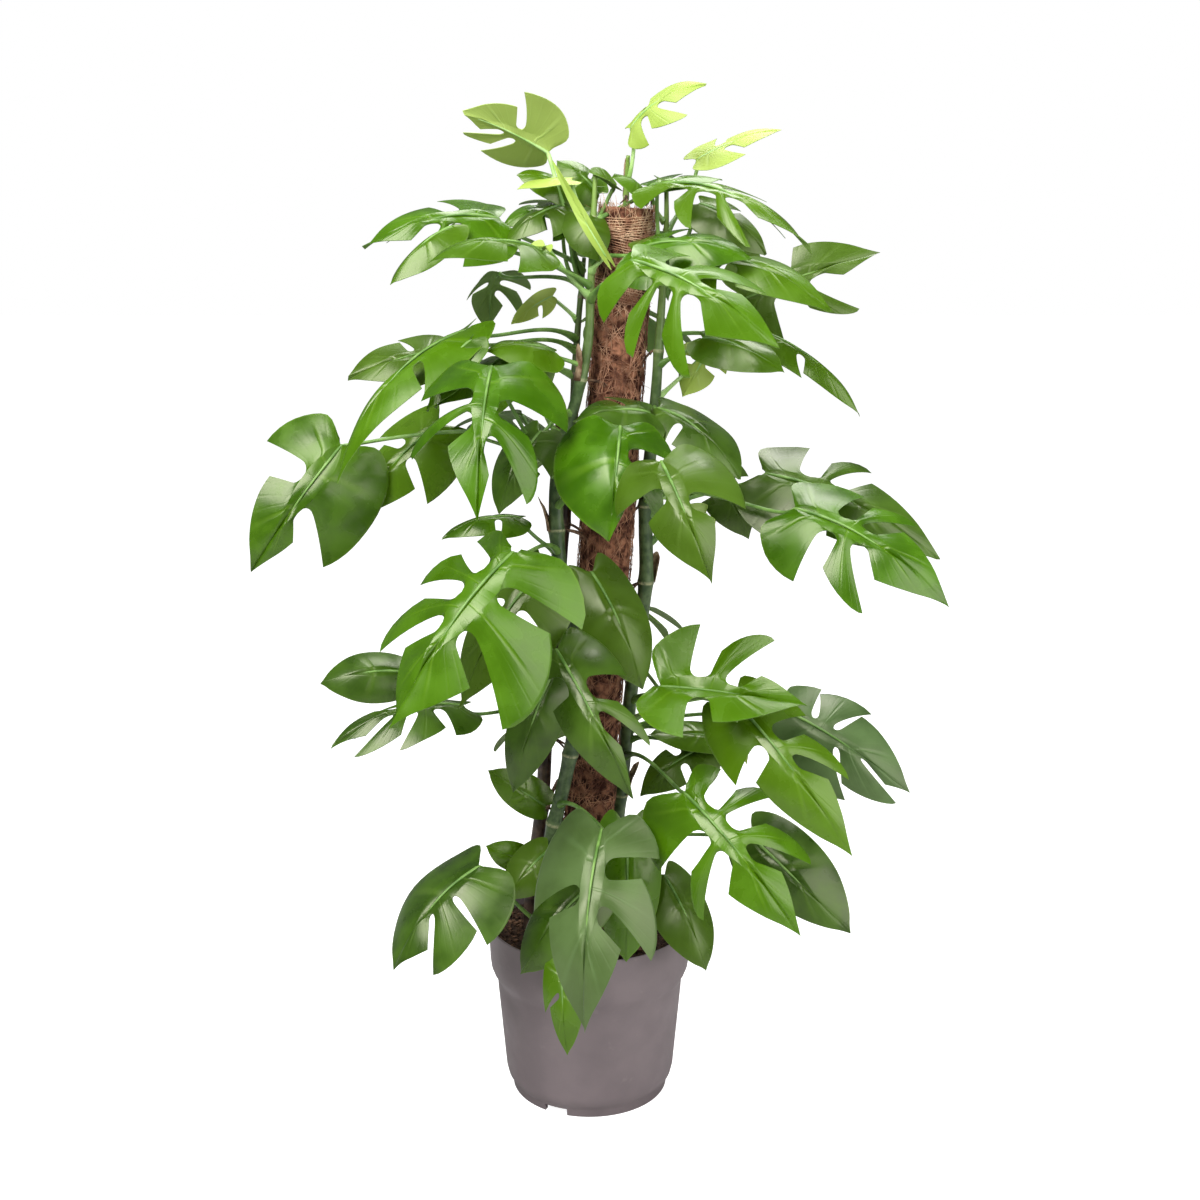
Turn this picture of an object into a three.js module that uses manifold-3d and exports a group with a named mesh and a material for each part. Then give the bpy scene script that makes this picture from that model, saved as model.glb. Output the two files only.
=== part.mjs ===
// Mini monstera (Rhaphidophora tetrasperma) climbing a coir pole in a nursery pot.
// Millimetres, +Z up. The origin is on the pot's axis, on the surface that the pot stands on.
// -Y is the plant's front.
import * as THREE from 'three';
import { mergeVertices } from 'three/addons/utils/BufferGeometryUtils.js';
import Module from 'manifold-3d';

const wasm = await Module();
wasm.setup();

// ---- driving dimensions -------------------------------------------------------------------
const CLEAR = 0.3;              // gap between pieces that touch

const POT_HEIGHT = 165;
const POT_RIM_RADIUS = 95;      // a 19 cm nursery pot
const POT_BAND_HEIGHT = 44;     // the turned band below the rim
const POT_SHOULDER_RADIUS = 86.5;
const POT_BODY_RADIUS = 76;     // where the body meets the foot
const POT_FOOT_RADIUS = 73;
const POT_FOOT_HEIGHT = 9;
const POT_WALL = 2;
const POT_SEGMENTS = 28;
const NOTCH_WIDTH = 22;
const NOTCH_HEIGHT = 7;
const NOTCH_TURNS = [-25, 95, 215];   // degrees from the front, towards +X

const SOIL_TOP = POT_HEIGHT - 12;
const SOIL_HEAP = 3;            // how far the soil stands up round the stems
const SOIL_RADIUS_TOP = 89;
const SOIL_RADIUS_LOW = 72.5;

const POLE_RADIUS = 24;
const POLE_CORE_RADIUS = 11;
const POLE_FOOT = [-17, 0, 13];   // centre of the sleeve's lower end
const POLE_TOP = [33, 0, 812];    // centre of its ragged top
const CORE_SHORT = 14;          // the stake stops this far below the sleeve's top

const STEM_RADIUS = 6.6;
const STEM_NODE_RADIUS = 7.8;   // swollen ring at each leaf scar
const STEM_RING_STEP = 34;      // every second ring is a node
const STEM_SIDES = 7;
const STEM_TAPER = 11;          // it thins to its growing tip over this many rings
const STALK_RADIUS = 1.9;
// Rings along a stalk: [how far from the scar to the blade, times its radius].
const STALK_RINGS = [[0, 1.5], [0.2, 1.15], [0.45, 1], [0.7, 1], [0.86, 0.95]];
const STALK_PATCH = [[0.2, 0.08], [0.5, 0.08], [0.2, 0.4]];   // its end, in that triangle's sides
const STALK_LEAVES = 0.3;       // how far it first runs straight out, as a share of its span,
const STALK_RISES = 0.2;        // how far up with that,
const STALK_MEETS = 0.04;       // and how far behind the foot of the blade
const STALK_DROPS = 0.2;        // and below it the stalk turns in
const BLADE_THICKNESS = 1;

// Routes of the four vines, from the root ball to the growing tip.
const STEMS = {
  front: [[-40, -34, 70], [-40, -34, 165], [-38, -32, 215], [-34, -34, 263], [-24, -36, 305],
    [-16, -38, 340], [-10, -38, 380], [-12, -36, 440], [-26, -28, 520], [-26, -22, 600],
    [-10, -28, 655], [0, -30, 700], [2, -24, 750], [4, -20, 800], [6, -16, 838]],
  right: [[24, 26, 70], [24, 26, 165], [26, 26, 250], [36, 22, 350], [44, 14, 431],
    [51, 10, 490], [51, 10, 542], [52, 8, 580], [56, 2, 631], [59, -6, 670], [63, -4, 740],
    [66, 4, 800], [66, 8, 830]],
  back: [[-12, 44, 70], [-12, 44, 165], [-2, 38, 300], [8, 35, 450], [16, 35, 600],
    [24, 36, 700], [31, 36, 800], [34, 28, 855]],
  left: [[-56, 14, 70], [-56, 14, 165], [-44, 14, 280], [-36, 12, 400], [-26, 16, 500],
    [-16, 20, 600], [-10, 22, 700], [-4, 24, 770]],
};

// How a blade bends: arch along the midrib, fold along it in degrees (the halves hang), and
// droop towards the margins.
const flat = { arch: 0.06, fold: 4, droop: 0.12 };
const arched = { arch: 0.13, fold: 12, droop: 0.26 };
const tented = { arch: 0.1, fold: 22, droop: 0.3 };
const hanging = { arch: 0.17, fold: 14, droop: 0.36 };
const cupped = { arch: 0.04, fold: -14, droop: 0.02 };

// Leaf colours, from a leaf just out to an old one.
const young = 0xa5d25a;
const bright = 0x5a9b28;
const mid = 0x3f7f2c;
const deep = 0x2f6334;

// The leaves of each vine, from the top: name, height of its scar, foot of the blade, tip, width,
// where the upper face looks (degrees from the front towards +X, and up), cuts in the left and
// right halves in per cent of the midrib, how wide these gape in per cent, form, tone.
const LEAVES = {
  front: [
    ['crown_8', 800, [-14, -16, 834], [-58, -42, 826], 20, [-40, 50], [], [], 100, flat, young],
    ['crown_5', 768, [37, -58, 778], [131, -90, 772], 83, [-4, 54], [46], [40], 130, arched, bright],
    ['crown_1', 775, [-34, 5, 857], [-102, -35, 888], 72, [160, 24], [52], [50, 70], 110, cupped, young],
    ['upper_left_2', 748, [-38, -62, 778], [-126, -108, 771], 62,
      [-10, 64], [42], [40], 110, arched, mid],
    ['upper_right_1', 735, [34, -137, 773], [144, -193, 711], 111,
      [-6, 46], [33, 62], [26, 41, 61], 130, tented, bright],
    ['shoulder_left_2', 622, [-48, -30, 697], [-127, -70, 649], 70,
      [-10, 56], [34, 60], [34], 100, tented, mid],
    ['heart_1', 620, [51, -60, 646], [-13, -80, 639], 65, [-8, 52], [], [44], 90, arched, deep],
    ['shoulder_left_1', 585, [-76, -120, 690], [-84, -190, 578], 122,
      [-2, 40], [45, 77], [36, 56], 150, hanging, bright],
    ['heart_3', 560, [26, -118, 642], [17, -160, 556], 96, [4, 38], [38, 70], [], 150, hanging, bright],
    ['mid_left_1', 520, [-60, -150, 546], [-152, -205, 415], 160,
      [-22, 34], [30, 63], [22, 41, 63], 112, tented, bright],
    ['heart_5', 470, [3, -58, 509], [46, -86, 413], 58, [16, 26], [], [], 90, arched, deep],
    ['mid_left_2', 426, [-26, -118, 457], [37, -172, 346], 84,
      [-4, 34], [44, 70], [34], 150, hanging, deep],
    ['mid_left_6', 500, [-40, -58, 511], [-109, -92, 397], 88, [-20, 36], [44], [44], 100, arched, deep],
    ['mid_left_3', 380, [-28, -60, 428], [-66, -78, 317], 46, [-10, 24], [], [], 90, arched, deep],
    ['low_front_1', 290, [11, -142, 308], [-2, -210, 159], 108,
      [-14, 38], [30, 57], [46], 115, hanging, mid],
    ['low_left_3', 240, [-36, -56, 255], [-74, -76, 217], 43, [-10, 36], [], [], 100, arched, deep],
    ['low_left_1', 173, [-94, -112, 263], [-164, -150, 184], 98,
      [-40, 46], [42, 69], [], 62, arched, deep],
    ['low_front_2', 190, [-23, -128, 185], [-18, -150, 106], 34, [-8, 24], [], [50], 80, arched, mid],
  ],
  right: [
    ['crown_3', 792, [94, 45, 852], [168, 62, 878], 48, [6, 70], [44], [48], 130, flat, young],
    ['upper_right_2', 770, [84, -45, 773], [196, -90, 729], 76, [14, 56], [40], [42], 120, arched, mid],
    ['crown_4', 761, [58, -24, 831], [180, -84, 777], 84,
      [20, 62], [30, 55], [26, 46, 66], 140, arched, mid],
    ['upper_right_4', 700, [154, -12, 707], [229, -48, 642], 35, [40, 40], [30], [46], 90, tented, mid],
    ['upper_right_5', 680, [97, -30, 705], [162, -66, 679], 44, [0, 44], [], [], 100, arched, mid],
    ['heart_2', 640, [59, -38, 647], [126, -84, 593], 66, [24, 50], [], [42], 90, arched, deep],
    ['heart_4', 560, [57, -172, 622], [94, -224, 538], 96, [-8, 34], [56], [40], 160, hanging, deep],
    ['mid_right_1', 560, [172, -82, 569], [294, -130, 497], 106,
      [2, 46], [38, 56], [36, 58], 118, arched, bright],
    ['mid_right_2', 545, [154, -13, 587], [301, -51, 518], 109,
      [6, 40], [32, 50], [43], 130, arched, deep],
    ['mid_right_3', 520, [110, 34, 584], [143, 24, 521], 64, [12, 26], [40], [36], 110, arched, deep],
    ['low_right_1', 400, [61, -92, 418], [181, -128, 411], 118,
      [-6, 50], [37, 66], [42], 150, cupped, bright],
    ['low_right_2', 370, [125, -98, 405], [218, -158, 291], 84,
      [-8, 38], [38, 60], [42], 112, arched, mid],
    ['low_right_3', 340, [178, -28, 375], [283, -58, 309], 84,
      [0, 30], [26, 46], [56, 82], 60, arched, deep],
    ['low_right_4', 315, [81, -118, 332], [175, -176, 228], 114,
      [-2, 32], [24, 42, 66], [38, 57], 130, hanging, bright],
    ['low_right_5', 225, [145, -60, 268], [229, -98, 194], 70, [-4, 24], [], [46], 70, arched, deep],
    ['low_right_6', 190, [67, -62, 233], [103, -104, 161], 52, [16, 30], [], [], 100, arched, deep],
  ],
  back: [
    ['crown_2', 830, [36, 20, 877], [98, -2, 912], 50, [-16, 50], [36], [32, 62], 120, arched, young],
    ['crown_7', 770, [53, 90, 790], [75, 160, 726], 88, [170, 60], [34, 60], [30, 60], 120, arched, mid],
    ['crown_6', 760, [5, 62, 800], [-52, 112, 806], 100,
      [180, 55], [34, 60], [30, 60], 120, arched, deep],
    ['upper_right_3', 737, [136, 22, 735], [254, 36, 773], 104, [8, 34], [41], [37, 68], 170, flat, deep],
    ['back_1', 720, [35, 96, 724], [60, 184, 675], 112, [160, 50], [30, 58], [30, 58], 120, arched, mid],
    ['back_2', 530, [10, 130, 596], [-30, 222, 530], 134,
      [185, 40], [26, 50, 72], [30, 58], 130, hanging, deep],
    ['back_3', 420, [20, 118, 440], [40, 214, 372], 124,
      [180, 40], [30, 58], [26, 50, 72], 120, hanging, mid],
    ['back_4', 300, [-30, 112, 330], [-52, 196, 262], 118,
      [190, 40], [30, 58], [30, 58], 120, hanging, deep],
  ],
  left: [
    ['upper_left_1', 762, [-76, -4, 803], [-187, -36, 778], 90,
      [-16, 46], [46, 66], [44], 140, arched, bright],
    ['upper_left_3', 745, [-79, 52, 756], [-93, 96, 699], 60,
      [200, 20], [40], [36, 62], 130, hanging, mid],
    ['shoulder_left_4', 700, [-102, -44, 713], [-205, -104, 594], 73,
      [-56, 40], [44], [44], 70, arched, bright],
    ['shoulder_left_3', 668, [-128, 2, 692], [-206, -18, 669], 66, [-24, 50], [48], [40], 80, flat, deep],
    ['shoulder_left_5', 600, [-218, 10, 608], [-299, -8, 498], 116,
      [8, 20], [66], [41], 150, arched, mid],
    ['shoulder_left_7', 590, [-60, 56, 630], [-118, 96, 596], 86,
      [200, 40], [34, 60], [34, 60], 120, arched, deep],
    ['shoulder_left_6', 580, [-135, 54, 621], [-211, 42, 536], 84,
      [-12, 40], [50], [44], 100, arched, mid],
    ['mid_left_4', 400, [-167, -20, 410], [-237, -36, 404], 48, [-20, 34], [], [], 100, arched, deep],
    ['mid_left_5', 360, [-109, -70, 394], [-217, -112, 369], 70,
      [-14, 76], [30, 52, 74], [36, 60], 90, arched, deep],
    ['low_left_2', 280, [-40, -22, 284], [-91, -30, 321], 34, [-10, 30], [], [], 100, flat, mid],
  ],
};

// Half outline of a blade without its cuts: [along the midrib / length, out / half width] for
// evenly spaced side veins, from the lobe behind the stalk to the tip.
const OUTLINE = [
  [-0.03, 0.09], [-0.13, 0.48], [-0.01, 0.86], [0.19, 1.03], [0.42, 1.03], [0.61, 0.9],
  [0.76, 0.66], [0.88, 0.38], [0.95, 0.14], [1, 0],
];
const VEIN_SPAN = 0.68;      // the side veins leave the first part of the midrib
const VEIN_CURVE = 1.35;     // squarely, and bend on towards the tip
const CUT_FLOOR = 0.16;      // a cut ends this far out along its vein
const CUT_HALF = 0.058;      // half a cut's width, as a share of the midrib
const LOBE_ROUND = [0.12, 0.24];   // how much a lobe's near corner is rounded off: always, and
                             // times how wide the cuts gape
const LOBE_FADE = [2, 1];    // how fast that rounding fades along a lobe, and along the end lobe,
                             // which is slender
const LOBE_PULL = 0.08;      // how far its far corner reaches towards the tip
const LOBE_COLUMN = 0.3;     // a lobe gets one more column for each such share of the midrib
// Rows between a cut's floor and the margin: how far out each is. The cut is rounded at its
// floor and from there it narrows outwards, unless it gapes.
const REACHES = [0, 0.3, 1];
const CUT_FLARE = [-0.9, 0.55, -0.5];   // change of width from floor to margin: always, times
                             // gape, and the least it may be
const CUT_SHARE = 0.35;      // a cut takes no more than this share of a lobe from each side
const BASE_ARCH = 0.4;       // behind the stalk the arch is this much flatter

// ---- small helpers ------------------------------------------------------------------------
const lerp = THREE.MathUtils.lerp;
const vec = (p) => new THREE.Vector3(...p);
const group = new THREE.Group();

function finish(name, shape, color, roughness) {
  const geometry = shape instanceof THREE.BufferGeometry ? shape : geometryOf(shape);
  const material = new THREE.MeshStandardMaterial({ color, roughness, metalness: 0 });
  const mesh = new THREE.Mesh(geometry, material);
  mesh.name = name;
  group.add(mesh);
  return mesh;
}

function solidOf(geometry) {
  const bare = geometry.clone();
  bare.deleteAttribute('normal');
  bare.deleteAttribute('uv');
  const merged = mergeVertices(bare, 1e-4);
  return new wasm.Manifold(new wasm.Mesh({
    numProp: 3,
    vertProperties: new Float32Array(merged.attributes.position.array),
    triVerts: new Uint32Array(merged.index.array),
  }));
}

function geometryOf(solid) {
  const mesh = solid.getMesh();
  const geometry = new THREE.BufferGeometry();
  geometry.setAttribute('position', new THREE.BufferAttribute(mesh.vertProperties, 3));
  geometry.setIndex(new THREE.BufferAttribute(mesh.triVerts, 1));
  geometry.computeVertexNormals();
  return geometry;
}

function geometryFrom(points, faces) {
  const geometry = new THREE.BufferGeometry();
  const flat = points.flatMap((p) => [p.x, p.y, p.z]);
  geometry.setAttribute('position', new THREE.Float32BufferAttribute(flat, 3));
  geometry.setIndex(faces.flat());
  geometry.computeVertexNormals();
  return geometry;
}

// A closed tube through the points, with a radius for each of them.
function tube(points, radii, sides) {
  const ringPoints = [];
  let side = new THREE.Vector3(1, 0, 0);
  points.forEach((point, i) => {
    const before = points[Math.max(i - 1, 0)];
    const after = points[Math.min(i + 1, points.length - 1)];
    const along = after.clone().sub(before).normalize();
    side = side.clone().addScaledVector(along, -side.dot(along)).normalize();
    const up = along.clone().cross(side);
    for (let k = 0; k < sides; k += 1) {
      const turn = (2 * Math.PI * (k + 0.5)) / sides;
      ringPoints.push(point.clone().addScaledVector(side, radii[i] * Math.cos(turn))
        .addScaledVector(up, radii[i] * Math.sin(turn)));
    }
  });
  const faces = [];
  const last = (points.length - 1) * sides;
  for (let i = 0; i < last; i += sides) {
    for (let k = 0; k < sides; k += 1) {
      const next = (k + 1) % sides;
      faces.push([i + k, i + next, i + sides + next], [i + k, i + sides + next, i + sides + k]);
    }
  }
  for (let k = 1; k < sides - 1; k += 1) {
    faces.push([0, k + 1, k], [last, last + k, last + k + 1]);
  }
  return geometryFrom(ringPoints, faces);
}

// ---- pot: one moulded shell, open at the top, with drain notches in its foot --------------
const bandFoot = POT_HEIGHT - POT_BAND_HEIGHT;
const bandRadius = POT_RIM_RADIUS - 1.5;
const floorTop = POT_FOOT_HEIGHT + POT_WALL;
const potProfile = [
  [0, POT_FOOT_HEIGHT], [POT_FOOT_RADIUS - 5, POT_FOOT_HEIGHT], [POT_FOOT_RADIUS - 4, 0],
  [POT_FOOT_RADIUS, 0], [POT_FOOT_RADIUS + 1, POT_FOOT_HEIGHT - 1], [POT_BODY_RADIUS, 14],
  [POT_SHOULDER_RADIUS, bandFoot - 18], [POT_SHOULDER_RADIUS + 1.5, bandFoot - 12],
  [bandRadius - 1, bandFoot], [bandRadius, bandFoot + 5], [POT_RIM_RADIUS, POT_HEIGHT - 1],
  [POT_RIM_RADIUS - 0.8, POT_HEIGHT], [POT_RIM_RADIUS - POT_WALL, POT_HEIGHT],
  [bandRadius - POT_WALL, bandFoot + 4], [POT_SHOULDER_RADIUS - POT_WALL + 1, bandFoot - 11],
  [POT_SHOULDER_RADIUS - POT_WALL, bandFoot - 19], [POT_BODY_RADIUS - POT_WALL, 17],
  [POT_FOOT_RADIUS - 2, floorTop], [0, floorTop],
].map(([r, z]) => new THREE.Vector2(r, z));
const potLathe = new THREE.LatheGeometry(potProfile, POT_SEGMENTS).rotateX(Math.PI / 2);
let pot = solidOf(potLathe);
for (const degrees of NOTCH_TURNS) {
  const turn = THREE.MathUtils.degToRad(degrees);
  const notch = new THREE.BoxGeometry(NOTCH_WIDTH, 16, 2 * NOTCH_HEIGHT)
    .translate(0, -POT_FOOT_RADIUS, 0).rotateZ(turn);
  pot = pot.subtract(solidOf(notch));
}
finish('pot', pot, 0x796d6d, 0.5);

// ---- climbing pole: a stake inside a coconut-fibre sleeve ----------------------------------
const poleFoot = vec(POLE_FOOT);
const poleTop = vec(POLE_TOP);
const poleLength = poleFoot.distanceTo(poleTop);
const poleLean = Math.atan2(poleTop.x - poleFoot.x, poleTop.z - poleFoot.z);
const sleeveProfile = [
  [POLE_CORE_RADIUS + CLEAR + 0.3, 0], [POLE_RADIUS, 0], [POLE_RADIUS, poleLength - 6],
  [POLE_RADIUS - 3, poleLength], [POLE_CORE_RADIUS + CLEAR + 0.3, poleLength - 3],
  [POLE_CORE_RADIUS + CLEAR + 0.3, 0],
].map(([r, z]) => new THREE.Vector2(r, z));
const sleeve = finish('pole_coir',
  mergeVertices(new THREE.LatheGeometry(sleeveProfile, 18).rotateX(Math.PI / 2)), 0x96694f, 1);
const coreLength = poleLength - CORE_SHORT;
const core = finish('pole_core',
  new THREE.CylinderGeometry(POLE_CORE_RADIUS, POLE_CORE_RADIUS, coreLength, 16)
    .rotateX(Math.PI / 2).translate(0, 0, coreLength / 2), 0xb08d62, 0.8);
for (const piece of [sleeve, core]) {
  piece.position.copy(poleFoot);
  piece.rotation.y = poleLean;
}

// ---- vines: knuckled stems with a ring at every leaf scar ----------------------------------
const routes = {};
for (const [name, points] of Object.entries(STEMS)) {
  const route = new THREE.CatmullRomCurve3(points.map(vec), false, 'centripetal');
  const steps = Math.round(route.getLength() / STEM_RING_STEP);
  const centres = route.getSpacedPoints(steps);
  const radii = centres.map((point, i) => {
    const full = i % 2 && point.z > SOIL_TOP ? STEM_NODE_RADIUS : STEM_RADIUS;
    return full * Math.min(1, (steps - i + 3) / STEM_TAPER);
  });
  const bark = tube(centres, radii, STEM_SIDES);
  const ring = (i, k) => new THREE.Vector3()
    .fromBufferAttribute(bark.attributes.position, i * STEM_SIDES + k);
  routes[name] = { centres, ring };
  finish(`stem_${name}`, bark, 0x4d6b35, 0.6);
}

// ---- soil: fills the pot, with plain holes for the pole and the vines -----------------------
const soilProfile = [
  [0, floorTop + CLEAR], [POT_FOOT_RADIUS - 3, floorTop + CLEAR], [SOIL_RADIUS_LOW, 18],
  [POT_SHOULDER_RADIUS - POT_WALL - 0.6, bandFoot - 19],
  [POT_SHOULDER_RADIUS - POT_WALL + 0.4, bandFoot - 11], [SOIL_RADIUS_TOP, bandFoot],
  [bandRadius - POT_WALL - 0.5, bandFoot + 6], [bandRadius - POT_WALL - 0.2, SOIL_TOP - 3],
  [SOIL_RADIUS_TOP - 4, SOIL_TOP], [55, SOIL_TOP + SOIL_HEAP], [0, SOIL_TOP + SOIL_HEAP],
].map(([r, z]) => new THREE.Vector2(r, z));
let soil = solidOf(new THREE.LatheGeometry(soilProfile, POT_SEGMENTS).rotateX(Math.PI / 2));
const poleHole = new THREE.CylinderGeometry(POLE_RADIUS + 0.5, POLE_RADIUS + 0.5, 400, 18)
  .rotateX(Math.PI / 2).rotateY(poleLean).translate(...POLE_FOOT);
soil = soil.subtract(solidOf(poleHole));
for (const points of Object.values(STEMS)) {
  const [x, y, z] = points[0];
  const hole = new THREE.CylinderGeometry(STEM_NODE_RADIUS + 0.6, STEM_NODE_RADIUS + 0.6, 200, 12)
    .rotateX(Math.PI / 2).translate(x, y, z - 1 + 100);
  soil = soil.subtract(solidOf(hole));
}
finish('soil', soil, 0x3b2a20, 1);

// ---- leaves: a cut blade on its own stalk -----------------------------------------------------
function outlineAt(s) {
  const place = s * (OUTLINE.length - 1);
  const i = Math.min(Math.floor(place), OUTLINE.length - 2);
  return [0, 1].map((k) => lerp(OUTLINE[i][k], OUTLINE[i + 1][k], place - i));
}

// Flat points of one half blade, lobe by lobe: columns along the midrib, rows from the line
// through the floors of the cuts out to the margin. Each point keeps its vein's place s.
function halfBlade(cuts, gape, sign) {
  const bounds = [0, ...cuts, 1];
  const halfCut = CUT_HALF * gape;
  const flare = Math.max(CUT_FLARE[0] + CUT_FLARE[1] * gape, CUT_FLARE[2]);
  return bounds.slice(1).map((far, k) => {
    const near = bounds[k];
    const cutNear = k > 0;
    const cutFar = far < 1;
    const fade = LOBE_FADE[cutFar ? 0 : 1];
    const columns = (cutNear ? 1 : 2) + Math.floor((far - near) / LOBE_COLUMN);
    const grid = [];
    for (let i = 0; i <= columns; i += 1) {
      const c = i / columns;
      grid.push(REACHES.map((reach) => {
        const gap = reach > 0 ? Math.min(halfCut * (1 + flare * reach), CUT_SHARE * (far - near)) : 0;
        const s = lerp(near + (cutNear ? gap : 0), far - (cutFar ? gap : 0), c);
        const round = cutNear ? 1 - (LOBE_ROUND[0] + LOBE_ROUND[1] * gape) * (1 - c) ** fade : 1;
        const t = CUT_FLOOR + (1 - CUT_FLOOR) * reach * round;
        const [endU, endV] = outlineAt(s);
        const pull = cutFar ? LOBE_PULL * reach * c : 0;
        return { s, u: lerp(VEIN_SPAN * s, endU, t ** VEIN_CURVE) + pull, v: sign * endV * t };
      }));
    }
    return grid;
  });
}

// The blade's own axes: along the chord from foot to tip, to its left, and out of its upper face.
function bladeAxes(foot, tip, [azimuth, elevation]) {
  const along = tip.clone().sub(foot).normalize();
  const turn = THREE.MathUtils.degToRad(azimuth);
  const lift = THREE.MathUtils.degToRad(elevation);
  const out = new THREE.Vector3(Math.sin(turn) * Math.cos(lift), -Math.cos(turn) * Math.cos(lift),
    Math.sin(lift));
  out.addScaledVector(along, -out.dot(along)).normalize();
  return { along, left: out.clone().cross(along), out };
}

// The upper face of a blade: its points and triangles, and which of these lies beside the first
// stretch of the midrib. Both halves share the midrib's points.
function bladeSheet(foot, tip, width, axes, cuts, gape, form) {
  const length = foot.distanceTo(tip);
  const half = width / 2;
  const slope = Math.tan(THREE.MathUtils.degToRad(form.fold));
  const points = [];
  const seen = new Map();
  const faces = [];
  let patchAt = 0;
  const index = ({ u, v }) => {
    const key = `${u.toFixed(5)} ${Math.abs(v) < 1e-9 ? 0 : v.toFixed(5)}`;
    if (!seen.has(key)) {
      const side = Math.abs(v) * half;
      const arch = form.arch * length * 4 * u * (1 - u) * (u < 0 ? BASE_ARCH : 1);
      const rise = arch - slope * side - (form.droop * side * side) / half;
      seen.set(key, points.length);
      points.push(foot.clone().addScaledVector(axes.along, u * length)
        .addScaledVector(axes.left, v * half).addScaledVector(axes.out, rise + BLADE_THICKNESS / 2));
    }
    return seen.get(key);
  };
  const halves = [halfBlade(cuts[0], gape, 1), halfBlade(cuts[1], gape, -1)];
  const places = halves.flat(2).map((column) => Number(column[0].s.toFixed(6)));
  const midrib = [...new Set(places)].sort((p, q) => p - q).map((s) => ({ s, u: VEIN_SPAN * s, v: 0 }));
  halves.forEach((grids, side) => {
    const add = (a, b, c) => {
      const face = [a, b, c].map(index);
      faces.push(side === 0 ? face : face.reverse());
    };
    // between the midrib and the floors of the cuts
    const floors = grids.flatMap((grid, k) => grid.slice(k ? 1 : 0).map((column) => column[0]));
    let i = 0;
    let j = 0;
    while (i < midrib.length - 1 || j < floors.length - 1) {
      const stepMidrib = j === floors.length - 1
        || (j > 0 && i < midrib.length - 1 && midrib[i + 1].s < floors[j + 1].s + 1e-5);
      if (stepMidrib) {
        if (i === 0 && side === 0) patchAt = faces.length;
        add(midrib[i], midrib[i + 1], floors[j]);
        i += 1;
      } else {
        add(midrib[i], floors[j + 1], floors[j]);
        j += 1;
      }
    }
    // the lobes
    for (const grid of grids) {
      for (let c = 0; c < grid.length - 1; c += 1) {
        for (let r = 0; r < REACHES.length - 1; r += 1) {
          add(grid[c][r], grid[c + 1][r], grid[c + 1][r + 1]);
          add(grid[c][r], grid[c + 1][r + 1], grid[c][r + 1]);
        }
      }
    }
  });
  return { points, faces, patchAt };
}

// Where a stalk starts on its vine: a point just off the bark, and the way out from it.
function scarOn(stem, height, towards) {
  const { centres, ring } = routes[stem];
  const above = Math.max(1, centres.findIndex((p) => p.z > height));
  const low = centres[above - 1];
  const high = centres[above];
  const share = (height - low.z) / (high.z - low.z);
  const centre = low.clone().lerp(high, share);
  const grain = high.clone().sub(low).normalize();
  const out = towards.clone().sub(centre).setZ(0);
  out.addScaledVector(grain, -out.dot(grain)).normalize();
  let bark = 0;
  for (let k = 0; k < STEM_SIDES; k += 1) {
    const edge = ring(above - 1, k).lerp(ring(above, k), share).sub(centre);
    bark = Math.max(bark, edge.dot(out));
  }
  return { root: centre.addScaledVector(out, bark + CLEAR), out };
}

// Ring of three points round a centre, square to a direction.
function threeRound(centre, along, radius) {
  const side = new THREE.Vector3(0, 0, 1).addScaledVector(along, -along.z).normalize();
  const up = along.clone().cross(side);
  return [0, 1, 2].map((k) => {
    const turn = (2 * Math.PI * k) / 3;
    return centre.clone().addScaledVector(side, radius * Math.cos(turn))
      .addScaledVector(up, radius * Math.sin(turn));
  });
}

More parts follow.
